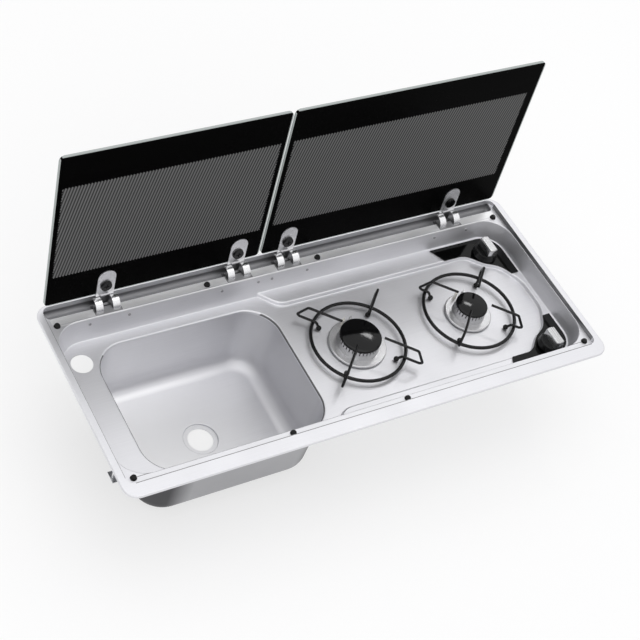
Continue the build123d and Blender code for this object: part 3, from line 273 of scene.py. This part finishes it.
# %% [markdown]
# ## Painted light and shade by place
# A real bowl takes uneven light from a studio, and thin pressed steps show as dark
# lines. Part of that light and shade is painted into the colour here. One zone
# after another is found from where a point lies and which way it faces, and is
# mixed over the brushed colour: painted shade in the trough, along the bowl's
# mouth, along the pressed steps and on the bowl's right wall, and painted
# highlights on the lips, the rear ledge and the bowl floor. This stands for the
# studio light rather than the metal: for plain steel, the list of zones can be
# left empty. The underside is duller and darker, with painted shade by which way
# the sheet faces, darkest where it turns the corner at the left end.

# %% Find the underside
BOWL_MIDDLE = Vector((-0.215, -0.012, -0.100))
BOWL_HALF = Vector((0.160, 0.128, 0.080))
UNDER_RIM_Z = -0.052
# Painted shade on the underside: lighter where the sheet faces front, back or the ends, darker
# where it faces down or slants.
MILL_LIT = (0.46, 0.46, 0.475)
MILL_SHADE = (0.10, 0.10, 0.105)
END_SHARE = 0.92
LEFT_END_SHADE = (-0.335, -0.295)

where = node(tree, "ShaderNodeTexCoord")
place_x, place_y, place_z = split(tree, where.outputs["Object"])
face_x, face_y, face_z = split(tree, where.outputs["Normal"])
from_middle = vector_maths(tree, "SUBTRACT", where.outputs["Object"], BOWL_MIDDLE)
outward = vector_maths(tree, "DIVIDE", from_middle.outputs["Vector"], BOWL_HALF)
away = vector_maths(tree, "DOT_PRODUCT", outward.outputs["Vector"], where.outputs["Normal"])
outside_bowl = all_of(
    tree, maths(tree, "GREATER_THAN", away.outputs["Value"], 0.0),
    maths(tree, "LESS_THAN", place_z, UNDER_RIM_Z),
)
below = maths(tree, "MAXIMUM", outside_bowl, maths(tree, "LESS_THAN", face_z, -0.5))
flatness = maths(
    tree, "MAXIMUM", maths(tree, "ABSOLUTE", face_y),
    maths(tree, "MULTIPLY", maths(tree, "ABSOLUTE", face_x), END_SHARE),
)
# Painted shade: the underside colour darkens as the sheet turns to face down, and is darkest at the
# left end.
mill_and_shade = grade(tree, flatness, MILL_SHADE, MILL_LIT, 0.78, 0.99)
mill_and_shade = mix_colours(tree, spread(tree, place_x, 1.0, 0.0, *LEFT_END_SHADE), mill_and_shade, MILL_SHADE)
print("underside below", UNDER_RIM_Z, "and wherever the sheet faces down")

# %% Shade the top
# Painted shade for the trough, the bowl's mouth, the pressed steps and the right wall; painted
# highlights for the lips, the rear ledge and the bowl floor.
TROUGH_SHADE = (0.30, 0.30, 0.31)
PAINTED_HIGHLIGHT = (0.95, 0.95, 0.96)
MOUTH_SHADE = (0.22, 0.22, 0.225)
STEP_SHADE = (0.28, 0.28, 0.285)
RIGHT_WALL_SHADE = (0.60, 0.60, 0.62)
BOWL_FLOOR_LIGHT = (0.97, 0.97, 0.98)
DEEP_Z = -0.0500
LEDGE_LOW_Z = -0.0062
STEP_LOW_Z = -0.0060
TROUGH_START, TROUGH_FALL = (0.1632, 0.1655), (-0.0075, -0.0050)
TROUGH_LIP, RECESS_LIP, LIP_SPAN = (0.1605, 0.1634), (0.1436, 0.1462), (-0.428, 0.428)
MOUTH_X, MOUTH_Y, MOUTH_Z = (-0.3785, -0.0530), (-0.1395, 0.0990), (-0.0482, -0.0445)
FRONT_STEP, FRONT_LIP, FRONT_REACH = (-0.1618, -0.1603), (-0.1482, -0.1470), 0.427
SIDE_STEP, SIDE_SPAN = (0.4374, 0.4386), (-0.149, 0.168)
REAR_LEDGE, REAR_REACH = (0.1478, 0.1600), 0.43
FLOOR_FADE = (-0.30, -0.10)

from_centre = maths(tree, "ABSOLUTE", place_x)
on_ledge = maths(tree, "GREATER_THAN", place_z, LEDGE_LOW_Z)
deep = maths(tree, "LESS_THAN", place_z, DEEP_Z)
in_trough = all_of(
    tree, spread(tree, place_y, 0.0, 1.0, *TROUGH_START),
    spread(tree, place_z, 1.0, 0.0, *TROUGH_FALL),
)
lips = all_of(
    tree,
    maths(
        tree, "MAXIMUM", between(tree, place_y, *TROUGH_LIP),
        between(tree, place_y, *RECESS_LIP),
    ),
    on_ledge, between(tree, place_x, *LIP_SPAN),
)
mouth = all_of(
    tree, between(tree, place_z, *MOUTH_Z), between(tree, place_x, *MOUTH_X),
    between(tree, place_y, *MOUTH_Y),
)
front_lines = all_of(
    tree,
    maths(
        tree, "MAXIMUM", between(tree, place_y, *FRONT_STEP),
        between(tree, place_y, *FRONT_LIP),
    ),
    maths(tree, "LESS_THAN", from_centre, FRONT_REACH),
)
side_lines = all_of(
    tree, between(tree, from_centre, *SIDE_STEP), between(tree, place_y, *SIDE_SPAN),
)
step_lines = all_of(
    tree, maths(tree, "MAXIMUM", front_lines, side_lines),
    maths(tree, "GREATER_THAN", place_z, STEP_LOW_Z),
)
rear_ledge = all_of(
    tree, between(tree, place_y, *REAR_LEDGE), on_ledge,
    maths(tree, "LESS_THAN", from_centre, REAR_REACH),
)
right_wall = all_of(tree, spread(tree, face_x, 1.0, 0.0, -0.85, -0.25), deep)
bowl_floor = all_of(
    tree, spread(tree, face_z, 0.0, 1.0, 0.85, 0.98), deep,
    spread(tree, place_x, 1.0, 0.1, *FLOOR_FADE),
)
# Each zone paints shade or a highlight over the brushed colour.
zones = (
    (in_trough, TROUGH_SHADE), (lips, PAINTED_HIGHLIGHT), (mouth, MOUTH_SHADE),
    (step_lines, STEP_SHADE), (rear_ledge, PAINTED_HIGHLIGHT), (right_wall, RIGHT_WALL_SHADE),
    (bowl_floor, BOWL_FLOOR_LIGHT),
)
for zone, zone_colour in zones:
    top_colour = mix_colours(tree, zone, top_colour, zone_colour)
tree.links.new(mix_colours(tree, below, top_colour, mill_and_shade), shader.inputs["Base Color"])
roughness = mix_numbers(tree, below, brushed_roughness, mill_roughness)
tree.links.new(roughness, shader.inputs["Roughness"])
print("zones on the top:", len(zones))
dress(steel, "sink_top")

# %% [markdown]
# ## Hinges, fixings and plated sheet
# The hinges are satin steel, with painted shade in the hollow round the pin. The box
# below the hob is zinc-plated, and a cell pattern gives it the spangle of plated sheet.

# %% The hinge steel
PIN_PLACE = Vector((0.0, 0.167, -0.006))
PIN_HOLLOW_SHADE = (0.20, 0.20, 0.205)
HOLLOW_REACH = (0.0155, 0.0180)
hinge_metal, tree, shader = start_finish("satin_hinge_steel", (0.78, 0.78, 0.79), 1.0, 0.30)
fine = noise(tree, place_in_object(tree, (2400.0, 60.0, 60.0)), 1.0, 3.0)
tree.links.new(spread(tree, fine, 0.26, 0.35), shader.inputs["Roughness"])
from_pin = vector_maths(tree, "SUBTRACT", place_in_object(tree, (0.0, 1.0, 1.0)), PIN_PLACE)
reach = vector_maths(tree, "LENGTH", from_pin.outputs["Vector"])
bright = grade(tree, fine, (0.74, 0.74, 0.75), (0.82, 0.82, 0.83))
# Painted shade: the steel darkens near the pin.
near_pin = spread(tree, reach.outputs["Value"], 1.0, 0.0, *HOLLOW_REACH)
tree.links.new(mix_colours(tree, near_pin, bright, PIN_HOLLOW_SHADE), shader.inputs["Base Color"])
bump(tree, shader, fine, 0.03, 0.0001)
dress(
    hinge_metal, "hinge_saddles", "hinge_pins", "hinge_leaves_left", "hinge_leaves_right",
    "lid_back_discs_left", "lid_back_discs_right", "clip_screws", "box_screws",
    "flame_sensor_left", "flame_sensor_right", "valve_spindle_front", "valve_spindle_rear",
    "valve_plunger_front", "valve_plunger_rear",
)

# %% The zinc-plated sheet
zinc, tree, shader = start_finish("zinc_plated_sheet", (0.60, 0.61, 0.63), 1.0, 0.42)
spangle = node(tree, "ShaderNodeTexVoronoi")
spangle.inputs["Scale"].default_value = 90.0
tree.links.new(place_in_object(tree), spangle.inputs["Vector"])
cells = spangle.outputs["Distance"]
tree.links.new(spread(tree, cells, 0.34, 0.52, 0.0, 1.0), shader.inputs["Roughness"])
zinc_colour = grade(tree, cells, (0.54, 0.55, 0.57), (0.66, 0.67, 0.69), 0.1, 0.8)
tree.links.new(zinc_colour, shader.inputs["Base Color"])
dress(zinc, "burner_box", "box_spacers", "rim_clips", "hinge_backing_plates")

# %% [markdown]
# ## Printed glass
# Each lid is a pane of toughened glass with black paint on one side. A narrow
# clear edge is left round the paint, and a large field carries fine slanted lines
# that read as grey. The paint is worked out from the place on the pane: one number
# runs along the pane, one up it, and comparisons of those two with the sizes of
# the print choose between clear glass, black and the hatched field.

# %% The glass of the lids
LID_LEAN = math.radians(180.0 - 94.7)
UP_PANE = Vector((0.0, math.cos(LID_LEAN), math.sin(LID_LEAN)))
THROUGH_PANE = Vector((0.0, -math.sin(LID_LEAN), math.cos(LID_LEAN)))
BLACK_PRINT = (0.0010, 0.0010, 0.0010)
HATCH_DARK = (0.040, 0.040, 0.040)
HATCH_LIGHT = (0.150, 0.150, 0.150)
HATCH_PITCH = 0.0052
HATCH_WAVE = 0.0009
HATCH_SLANT = -0.25
PANE_EDGE = (0.42, 0.45, 0.44)
LIDS = (
    ("left", (-0.4350, -0.0543, 0.0225, 0.3240), (-0.4270, -0.0625, 0.0815, 0.2640)),
    ("right", (-0.0475, 0.4306, 0.0225, 0.3240), (-0.0385, 0.4153, 0.0847, 0.2635)),
)


def ripple_of(tree, value):
    """A sine that repeats once in every pitch of the hatching."""
    return maths(tree, "SINE", maths(tree, "MULTIPLY", value, 2 * math.pi / HATCH_PITCH))


def inside(tree, across, up, left, right, low, high, wave=0.0):
    """One inside a rectangle on the pane, whose border may be wavy."""
    shifted_x = maths(tree, "ADD", across, maths(tree, "MULTIPLY", ripple_of(tree, up), wave))
    shifted_y = maths(tree, "ADD", up, maths(tree, "MULTIPLY", ripple_of(tree, across), wave))
    return all_of(
        tree, between(tree, shifted_x, left, right), between(tree, shifted_y, low, high),
    )


def lid_finish(name, pane, field):
    """Printed glass; pane and field are (left, right, low, high) on the lid in metres."""
    finish, tree, shader = start_finish(name, BLACK_PRINT, 0.0, 0.3, Specular_IOR_Level=0.012)
    where = node(tree, "ShaderNodeTexCoord")
    from_pin = vector_maths(tree, "SUBTRACT", where.outputs["Object"], PIN_PLACE).outputs["Vector"]
    across = vector_maths(tree, "DOT_PRODUCT", from_pin, (1.0, 0.0, 0.0)).outputs["Value"]
    up = vector_maths(tree, "DOT_PRODUCT", from_pin, UP_PANE).outputs["Value"]
    slanted = maths(tree, "ADD", across, maths(tree, "MULTIPLY", up, HATCH_SLANT))
    stripe = spread(tree, ripple_of(tree, slanted), 0.0, 1.0, -0.5, 0.5)
    hatch = mix_colours(tree, stripe, HATCH_DARK, HATCH_LIGHT)
    in_field = inside(tree, across, up, *field, wave=HATCH_WAVE)
    print_colour = mix_colours(tree, in_field, BLACK_PRINT, hatch)
    colour = mix_colours(tree, inside(tree, across, up, *pane), PANE_EDGE, print_colour)
    tree.links.new(colour, shader.inputs["Base Color"])
    facing = vector_maths(tree, "DOT_PRODUCT", where.outputs["Normal"], THROUGH_PANE)
    orange = noise(tree, where.outputs["Object"], 420.0, 2.0)
    satin = maths(tree, "ADD", spread(tree, orange, -0.03, 0.03), 0.30)
    gloss = maths(tree, "ADD", spread(tree, orange, 0.0, 0.02), 0.05)
    through = maths(tree, "GREATER_THAN", facing.outputs["Value"], 0.5)
    tree.links.new(mix_numbers(tree, through, gloss, satin), shader.inputs["Roughness"])
    return finish


for side, pane, field in LIDS:
    dress(lid_finish("printed_glass_" + side, pane, field), "lid_glass_" + side)

# %% [markdown]
# ## Cast burner parts and enamel
# The burner bodies are cast aluminium, grey and slightly grainy. Their caps and
# the pan supports are enamelled: a hard black glass layer, glossy on the caps and
# a little duller on the wires, where the coat is thin and uneven.

# %% The cast aluminium
cast, tree, shader = start_finish("cast_aluminium", (0.50, 0.50, 0.50), 1.0, 0.38)
grain = noise(tree, place_in_object(tree), 900.0, 4.0, 0.65)
tree.links.new(spread(tree, grain, 0.26, 0.44), shader.inputs["Roughness"])
tree.links.new(
    grade(tree, grain, (0.50, 0.50, 0.51), (0.72, 0.72, 0.73)),
    shader.inputs["Base Color"],
)
bump(tree, shader, grain, 0.25, 0.0003)
dress(
    cast, "burner_base_left", "burner_base_right", "burner_crown_left", "burner_crown_right",
    "burner_cup_left", "burner_cup_right", "gas_pipe_left", "gas_pipe_right", "gas_rail",
)

# %% The enamels
cap_enamel, tree, shader = start_finish(
    "gloss_black_enamel", (0.003, 0.003, 0.0033), 0.0, 0.08, Specular_IOR_Level=0.30,
)
peel = noise(tree, place_in_object(tree), 260.0, 2.0)
tree.links.new(spread(tree, peel, 0.05, 0.10), shader.inputs["Roughness"])
bump(tree, shader, peel, 0.06, 0.0003)
dress(cap_enamel, "burner_cap_left", "burner_cap_right", "lid_screws_left", "lid_screws_right")

wire_enamel, tree, shader = start_finish(
    "satin_black_enamel", (0.005, 0.005, 0.0054), 0.0, 0.20, Specular_IOR_Level=0.30,
)
pits = noise(tree, place_in_object(tree), 1100.0, 3.0)
tree.links.new(spread(tree, pits, 0.14, 0.28), shader.inputs["Roughness"])
bump(tree, shader, pits, 0.20, 0.0002)
dress(wire_enamel, "pan_support_left", "pan_support_right")

# %% [markdown]
# ## Domed burner caps
# A burner cap is stamped with a slight dome, so that spilled water runs off and the
# enamel shows one small bright reflection instead of a mirror of the whole room.
# The engineering model has it flat. A lathe shape gives the dome: a list of points,
# each a distance from the middle and a height, is turned round the burner's axis.

# %% Turn the caps
TURNS = 96


def turned_piece(name, centre, profile, finish):
    """Turn a list of (radius, height) points round an upright axis."""
    mesh = bpy.data.meshes.new(name)
    shape = bmesh.new()
    rings = []
    for radius, z in profile:
        if radius == 0.0:
            rings.append([shape.verts.new((centre[0], centre[1], z))])
            continue
        angles = [2 * math.pi * step / TURNS for step in range(TURNS)]
        rings.append([
            shape.verts.new((centre[0] + radius * math.cos(a), centre[1] + radius * math.sin(a), z))
            for a in angles
        ])
    for inner, outer in zip(rings, rings[1:]):
        for step in range(TURNS):
            after = (step + 1) % TURNS
            corners = [ring[step % len(ring)] for ring in (inner, outer)]
            corners += [ring[after % len(ring)] for ring in (outer, inner)]
            unique = list(dict.fromkeys(corners))
            if len(unique) > 2:
                shape.faces.new(unique)
    bmesh.ops.recalc_face_normals(shape, faces=shape.faces)
    for face in shape.faces:
        face.smooth = True
    for edge in shape.edges:
        if len(edge.link_faces) == 2 and edge.calc_face_angle() > math.radians(40):
            edge.smooth = False
    shape.to_mesh(mesh)
    shape.free()
    mesh.materials.append(finish)
    piece = bpy.data.objects.new(name, mesh)
    bpy.context.scene.collection.objects.link(piece)
    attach(piece, "sink")
    print(name, "has", len(mesh.polygons), "faces")
    return piece


CAP_DOME = 0.0019
CAP_EDGE = 0.0025
CAP_HEIGHT = 0.006
CAP_OVERHANG = 0.0044
DOME_STEPS = 16
for side in ("left", "right"):
    low_corner, high_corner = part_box("burner_cap_" + side)
    cap_radius = (high_corner[0] - low_corner[0]) / 2
    middle = [(a + b) / 2 for a, b in zip(low_corner, high_corner)]
    cap_top, spigot_foot = high_corner[2], low_corner[2]
    cap_under = cap_top - CAP_HEIGHT
    dome_radius = cap_radius - CAP_EDGE
    profile = [(0.0, cap_top)]
    profile += [
        (dome_radius * step / DOME_STEPS, cap_top - CAP_DOME * (step / DOME_STEPS) ** 2)
        for step in range(1, DOME_STEPS + 1)
    ]
    shoulder = cap_top - CAP_DOME - CAP_EDGE
    profile += [
        (dome_radius + CAP_EDGE * math.sin(a), shoulder + CAP_EDGE * math.cos(a))
        for a in [math.radians(turned) for turned in (20, 40, 60, 80, 90)]
    ]
    profile += [(cap_radius, cap_under), (cap_radius - CAP_OVERHANG, cap_under)]
    profile += [(cap_radius - CAP_OVERHANG, spigot_foot), (0.0, spigot_foot)]
    cap = turned_piece("domed_cap_" + side, middle, profile, cap_enamel)
    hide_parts("burner_cap_" + side)

# %% [markdown]
# ## Arched straps over the hinge pins
# Each hinge pin passes below two bright straps that spring from the ledge and arch
# back over the trough. A strap is a thin strip swept along an arc round the pin,
# so the arc is worked out once and the strip is built from its cross-sections. A
# thin dark plate lies on the ledge below each pair, as painted shade at and
# between the strap feet.

# %% Sweep the straps
strap_steel, tree, shader = start_finish("polished_strap_steel", (0.90, 0.90, 0.91), 1.0, 0.22)
drawn = noise(tree, place_in_object(tree, (2600.0, 40.0, 40.0)), 1.0, 3.0)
tree.links.new(spread(tree, drawn, 0.18, 0.28), shader.inputs["Roughness"])
tree.links.new(
    grade(tree, drawn, (0.86, 0.86, 0.87), (0.94, 0.94, 0.95)),
    shader.inputs["Base Color"],
)
bump(tree, shader, drawn, 0.03, 0.0001)

# Painted shade: a dull dark colour for the plate at and between the strap feet.
plate_shade_steel, tree, shader = start_finish("plate_steel_painted_shade", (0.42, 0.42, 0.43), 1.0, 0.42)
drawn = noise(tree, place_in_object(tree, (60.0, 1800.0, 60.0)), 1.0, 3.0)
tree.links.new(spread(tree, drawn, 0.36, 0.50), shader.inputs["Roughness"])
tree.links.new(
    grade(tree, drawn, (0.36, 0.36, 0.37), (0.48, 0.48, 0.49)),
    shader.inputs["Base Color"],
)
dress(plate_shade_steel, "hinge_rivets")

LEDGE_TOP = -0.004
STRAP_OUTER = 0.0165
STRAP_THICK = 0.0013
STRAP_WIDTH = 0.0125
STRAP_OFFSET = 0.0147
STRAP_END = math.radians(74)
STRAP_STEPS = 22
PLATE_THICK = 0.0004
PLATE_HALF = 0.0235
PLATE_FRONT, PLATE_REAR = 0.1470, 0.1612
SOFT_EDGE = 0.0003
pin_low, pin_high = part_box("hinge_pins")
HINGE_XS = (-0.3330, -0.0955, -0.0005, 0.3320)


def strip_piece(name, path, thick, x_low, x_high, finish):
    """Sweep a strip of one width along points (y, z, across_y, across_z)."""
    mesh = bpy.data.meshes.new(name)
    shape = bmesh.new()
    rows = []
    for y, z, ny, nz in path:
        outer = [shape.verts.new((x, y, z)) for x in (x_low, x_high)]
        inner = [shape.verts.new((x, y - ny * thick, z - nz * thick)) for x in (x_high, x_low)]
        rows.append(outer + inner)
    for first, second in zip(rows, rows[1:]):
        for corner in range(4):
            after = (corner + 1) % 4
            shape.faces.new((first[corner], first[after], second[after], second[corner]))
    shape.faces.new(rows[0])
    shape.faces.new(rows[-1][::-1])
    bmesh.ops.recalc_face_normals(shape, faces=shape.faces)
    shape.to_mesh(mesh)
    shape.free()
    mesh.materials.append(finish)
    piece = bpy.data.objects.new(name, mesh)
    bpy.context.scene.collection.objects.link(piece)
    rounding = piece.modifiers.new("soft_edges", "BEVEL")
    rounding.width = SOFT_EDGE
    rounding.segments = 2
    rounding.limit_method = "ANGLE"
    rounding.angle_limit = math.radians(50)
    for polygon in mesh.polygons:
        polygon.use_smooth = True
    mesh.set_sharp_from_angle(angle=math.radians(40))
    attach(piece, "sink")
    return piece


def strap_path():
    """From the foot on the ledge, up and back over the pin."""
    points = []
    start = math.pi - math.asin((LEDGE_TOP - PIN_PLACE.z) / STRAP_OUTER)
    for step in range(STRAP_STEPS + 1):
        turned = start + (STRAP_END - start) * step / STRAP_STEPS
        ny, nz = math.cos(turned), math.sin(turned)
        points.append((PIN_PLACE.y + STRAP_OUTER * ny, PIN_PLACE.z + STRAP_OUTER * nz, ny, nz))
    return points


for index, hinge_x in enumerate(HINGE_XS):
    for hand, side in ((-1, "a"), (1, "b")):
        middle_x = hinge_x + hand * STRAP_OFFSET
        strip_piece(
            "hinge_strap_%d%s" % (index + 1, side), strap_path(), STRAP_THICK,
            middle_x - STRAP_WIDTH / 2, middle_x + STRAP_WIDTH / 2, strap_steel,
        )
    # A thin dark plate under each pair of straps, as painted shade.
    plate_top = LEDGE_TOP + PLATE_THICK
    strip_piece(
        "hinge_plate_%d" % (index + 1),
        [(PLATE_FRONT, plate_top, 0.0, 1.0), (PLATE_REAR, plate_top, 0.0, 1.0)],
        PLATE_THICK, hinge_x - PLATE_HALF, hinge_x + PLATE_HALF, plate_shade_steel,
    )
print("straps:", 2 * len(HINGE_XS), "between", pin_low[0], "and", pin_high[0])

# %% [markdown]
# ## Plastics, rubber, brass and ceramic
# These are small, but each still needs its own grain, because a plain colour looks
# like a toy beside the steel. Rubber is matt and a little dusty, the knob's plastic
# is satin, and the control panels are polished black.

# %% The small finishes
rubber, tree, shader = start_finish(
    "black_rubber", (0.012, 0.012, 0.012), 0.0, 0.70, Specular_IOR_Level=0.25,
)
dust = noise(tree, place_in_object(tree), 500.0, 3.0)
tree.links.new(spread(tree, dust, 0.62, 0.85), shader.inputs["Roughness"])
bump(tree, shader, dust, 0.2, 0.0002)
dress(
    rubber, "rim_seal", "lid_buffers", "hinge_pads_left", "hinge_pads_right",
    "pan_feet_left", "pan_feet_right",
)

moulded, tree, shader = start_finish(
    "satin_black_plastic", (0.005, 0.005, 0.0053), 0.0, 0.24, Specular_IOR_Level=0.30,
)
texture = noise(tree, place_in_object(tree), 1400.0, 2.0)
tree.links.new(spread(tree, texture, 0.18, 0.32), shader.inputs["Roughness"])
bump(tree, shader, texture, 0.12, 0.0002)
dress(moulded, "knob_skirt_front", "knob_skirt_rear")

panel_gloss, tree, shader = start_finish(
    "gloss_black_panel", (0.002, 0.002, 0.0022), 0.0, 0.06, Specular_IOR_Level=0.25,
)
ripple = noise(tree, place_in_object(tree), 60.0, 2.0)
tree.links.new(spread(tree, ripple, 0.04, 0.10), shader.inputs["Roughness"])
dress(panel_gloss, "control_panel_front", "control_panel_rear")

grip_metal, tree, shader = start_finish("satin_grip_metal", (0.58, 0.58, 0.585), 1.0, 0.28)
brushed = noise(tree, place_in_object(tree, (900.0, 30.0, 900.0)), 1.0, 3.0)
tree.links.new(spread(tree, brushed, 0.20, 0.36), shader.inputs["Roughness"])
bump(tree, shader, brushed, 0.08, 0.0002)
dress(grip_metal, "knob_grip_front", "knob_grip_rear")

brass, tree, shader = start_finish("machined_brass", (0.72, 0.52, 0.24), 1.0, 0.30)
turned = noise(tree, place_in_object(tree, (40.0, 40.0, 1200.0)), 1.0, 3.0)
tree.links.new(spread(tree, turned, 0.22, 0.40), shader.inputs["Roughness"])
dress(brass, "gas_valve_front", "gas_valve_rear", "gas_inlet", "injector_left", "injector_right")

ceramic, tree, shader = start_finish("white_ceramic", (0.80, 0.78, 0.73), 0.0, 0.25)
speck = noise(tree, place_in_object(tree), 1500.0, 2.0)
tree.links.new(
    grade(tree, speck, (0.74, 0.72, 0.67), (0.86, 0.84, 0.79)),
    shader.inputs["Base Color"],
)
dress(ceramic, "igniter_left", "igniter_right")

# %% [markdown]
# ## Floor and light
# The picture is a product shot on white, with a faint shadow. The floor is white
# paper that glows a little to the camera and in reflections, which keeps it white
# and leaves the shadow in. Steel shows its surroundings, so the size and place of
# each lamp matter as much as its strength.

# %% The floor
FLOOR_HALF = 6.0
FLOOR_GAP = 0.001
FLOOR_GLOW = 0.62
floor_mesh = bpy.data.meshes.new("pale_floor")
shape = bmesh.new()
bmesh.ops.create_grid(shape, x_segments=1, y_segments=1, size=FLOOR_HALF)
shape.to_mesh(floor_mesh)
shape.free()
floor = bpy.data.objects.new("pale_floor", floor_mesh)
floor.location.z = cad_box[0][2] - FLOOR_GAP
bpy.context.scene.collection.objects.link(floor)
paper, tree, shader = start_finish("white_paper", (0.94, 0.94, 0.94), 0.0, 0.9)
grain = noise(tree, place_in_object(tree), 600.0, 3.0)
tree.links.new(
    grade(tree, grain, (0.93, 0.93, 0.93), (0.95, 0.95, 0.95)),
    shader.inputs["Base Color"],
)
glow = node(tree, "ShaderNodeEmission")
ray = node(tree, "ShaderNodeLightPath")
mirrored = maths(
    tree, "ADD", ray.outputs["Is Glossy Ray"], ray.outputs["Is Transmission Ray"], clamp=True,
)
seen = maths(tree, "ADD", ray.outputs["Is Camera Ray"], mirrored, clamp=True)
blend = node(tree, "ShaderNodeMixShader")
tree.links.new(maths(tree, "MULTIPLY", seen, FLOOR_GLOW), blend.inputs["Fac"])
tree.links.new(shader.outputs["BSDF"], blend.inputs[1])
tree.links.new(glow.outputs["Emission"], blend.inputs[2])
tree.links.new(blend.outputs["Shader"], tree.nodes["Material Output"].inputs["Surface"])
floor_mesh.materials.append(paper)
print("floor at", floor.location.z)

# %% [markdown]
# ## Lamps and world
# Three area lamps light the steel: a broad one above, one from the front left, and
# a small one behind the right end, which shows as a glint on the burner caps. The
# world is a soft sky, darker near the horizon, so that walls and floors of steel
# differ. The camera itself sees plain white.

# %% The light
def lamp(name, place, target, size, power):
    """A soft square lamp that looks at a point."""
    light = bpy.data.lights.new(name, "AREA")
    light.shape = "RECTANGLE"
    light.size, light.size_y = size
    light.energy = power
    made = bpy.data.objects.new(name, light)
    made.location = place
    made.rotation_euler = (Vector(target) - Vector(place)).to_track_quat("-Z", "Y").to_euler()
    bpy.context.scene.collection.objects.link(made)
    return made


lamp("overhead", (0.2, 0.3, 2.6), (0, 0, 0), (2.4, 1.8), 9)
lamp("front_fill", (-1.6, -2.2, 1.4), (0, 0, 0), (1.6, 1.2), 8)
lamp("glint", (1.50, 1.12, 1.89), (0.17, 0, 0), (0.30, 0.16), 1.7)

HORIZON = (0.56, 0.56, 0.565)
ZENITH = (0.97, 0.97, 0.975)
world = bpy.data.worlds.new("studio")
world.use_nodes = True
bpy.context.scene.world = world
tree = world.node_tree
direction = node(tree, "ShaderNodeTexCoord")
rise = split(tree, direction.outputs["Generated"])[2]
sky = grade(tree, rise, HORIZON, ZENITH, 0.05, 0.60)
ray = node(tree, "ShaderNodeLightPath")
backdrop = mix_colours(tree, ray.outputs["Is Camera Ray"], sky, (1.0, 1.0, 1.0))
tree.links.new(backdrop, tree.nodes["Background"].inputs["Color"])
tree.nodes["Background"].inputs["Strength"].default_value = 1.0
bpy.context.scene.view_settings.view_transform = "Standard"
print("lamps:", len(bpy.data.lights))
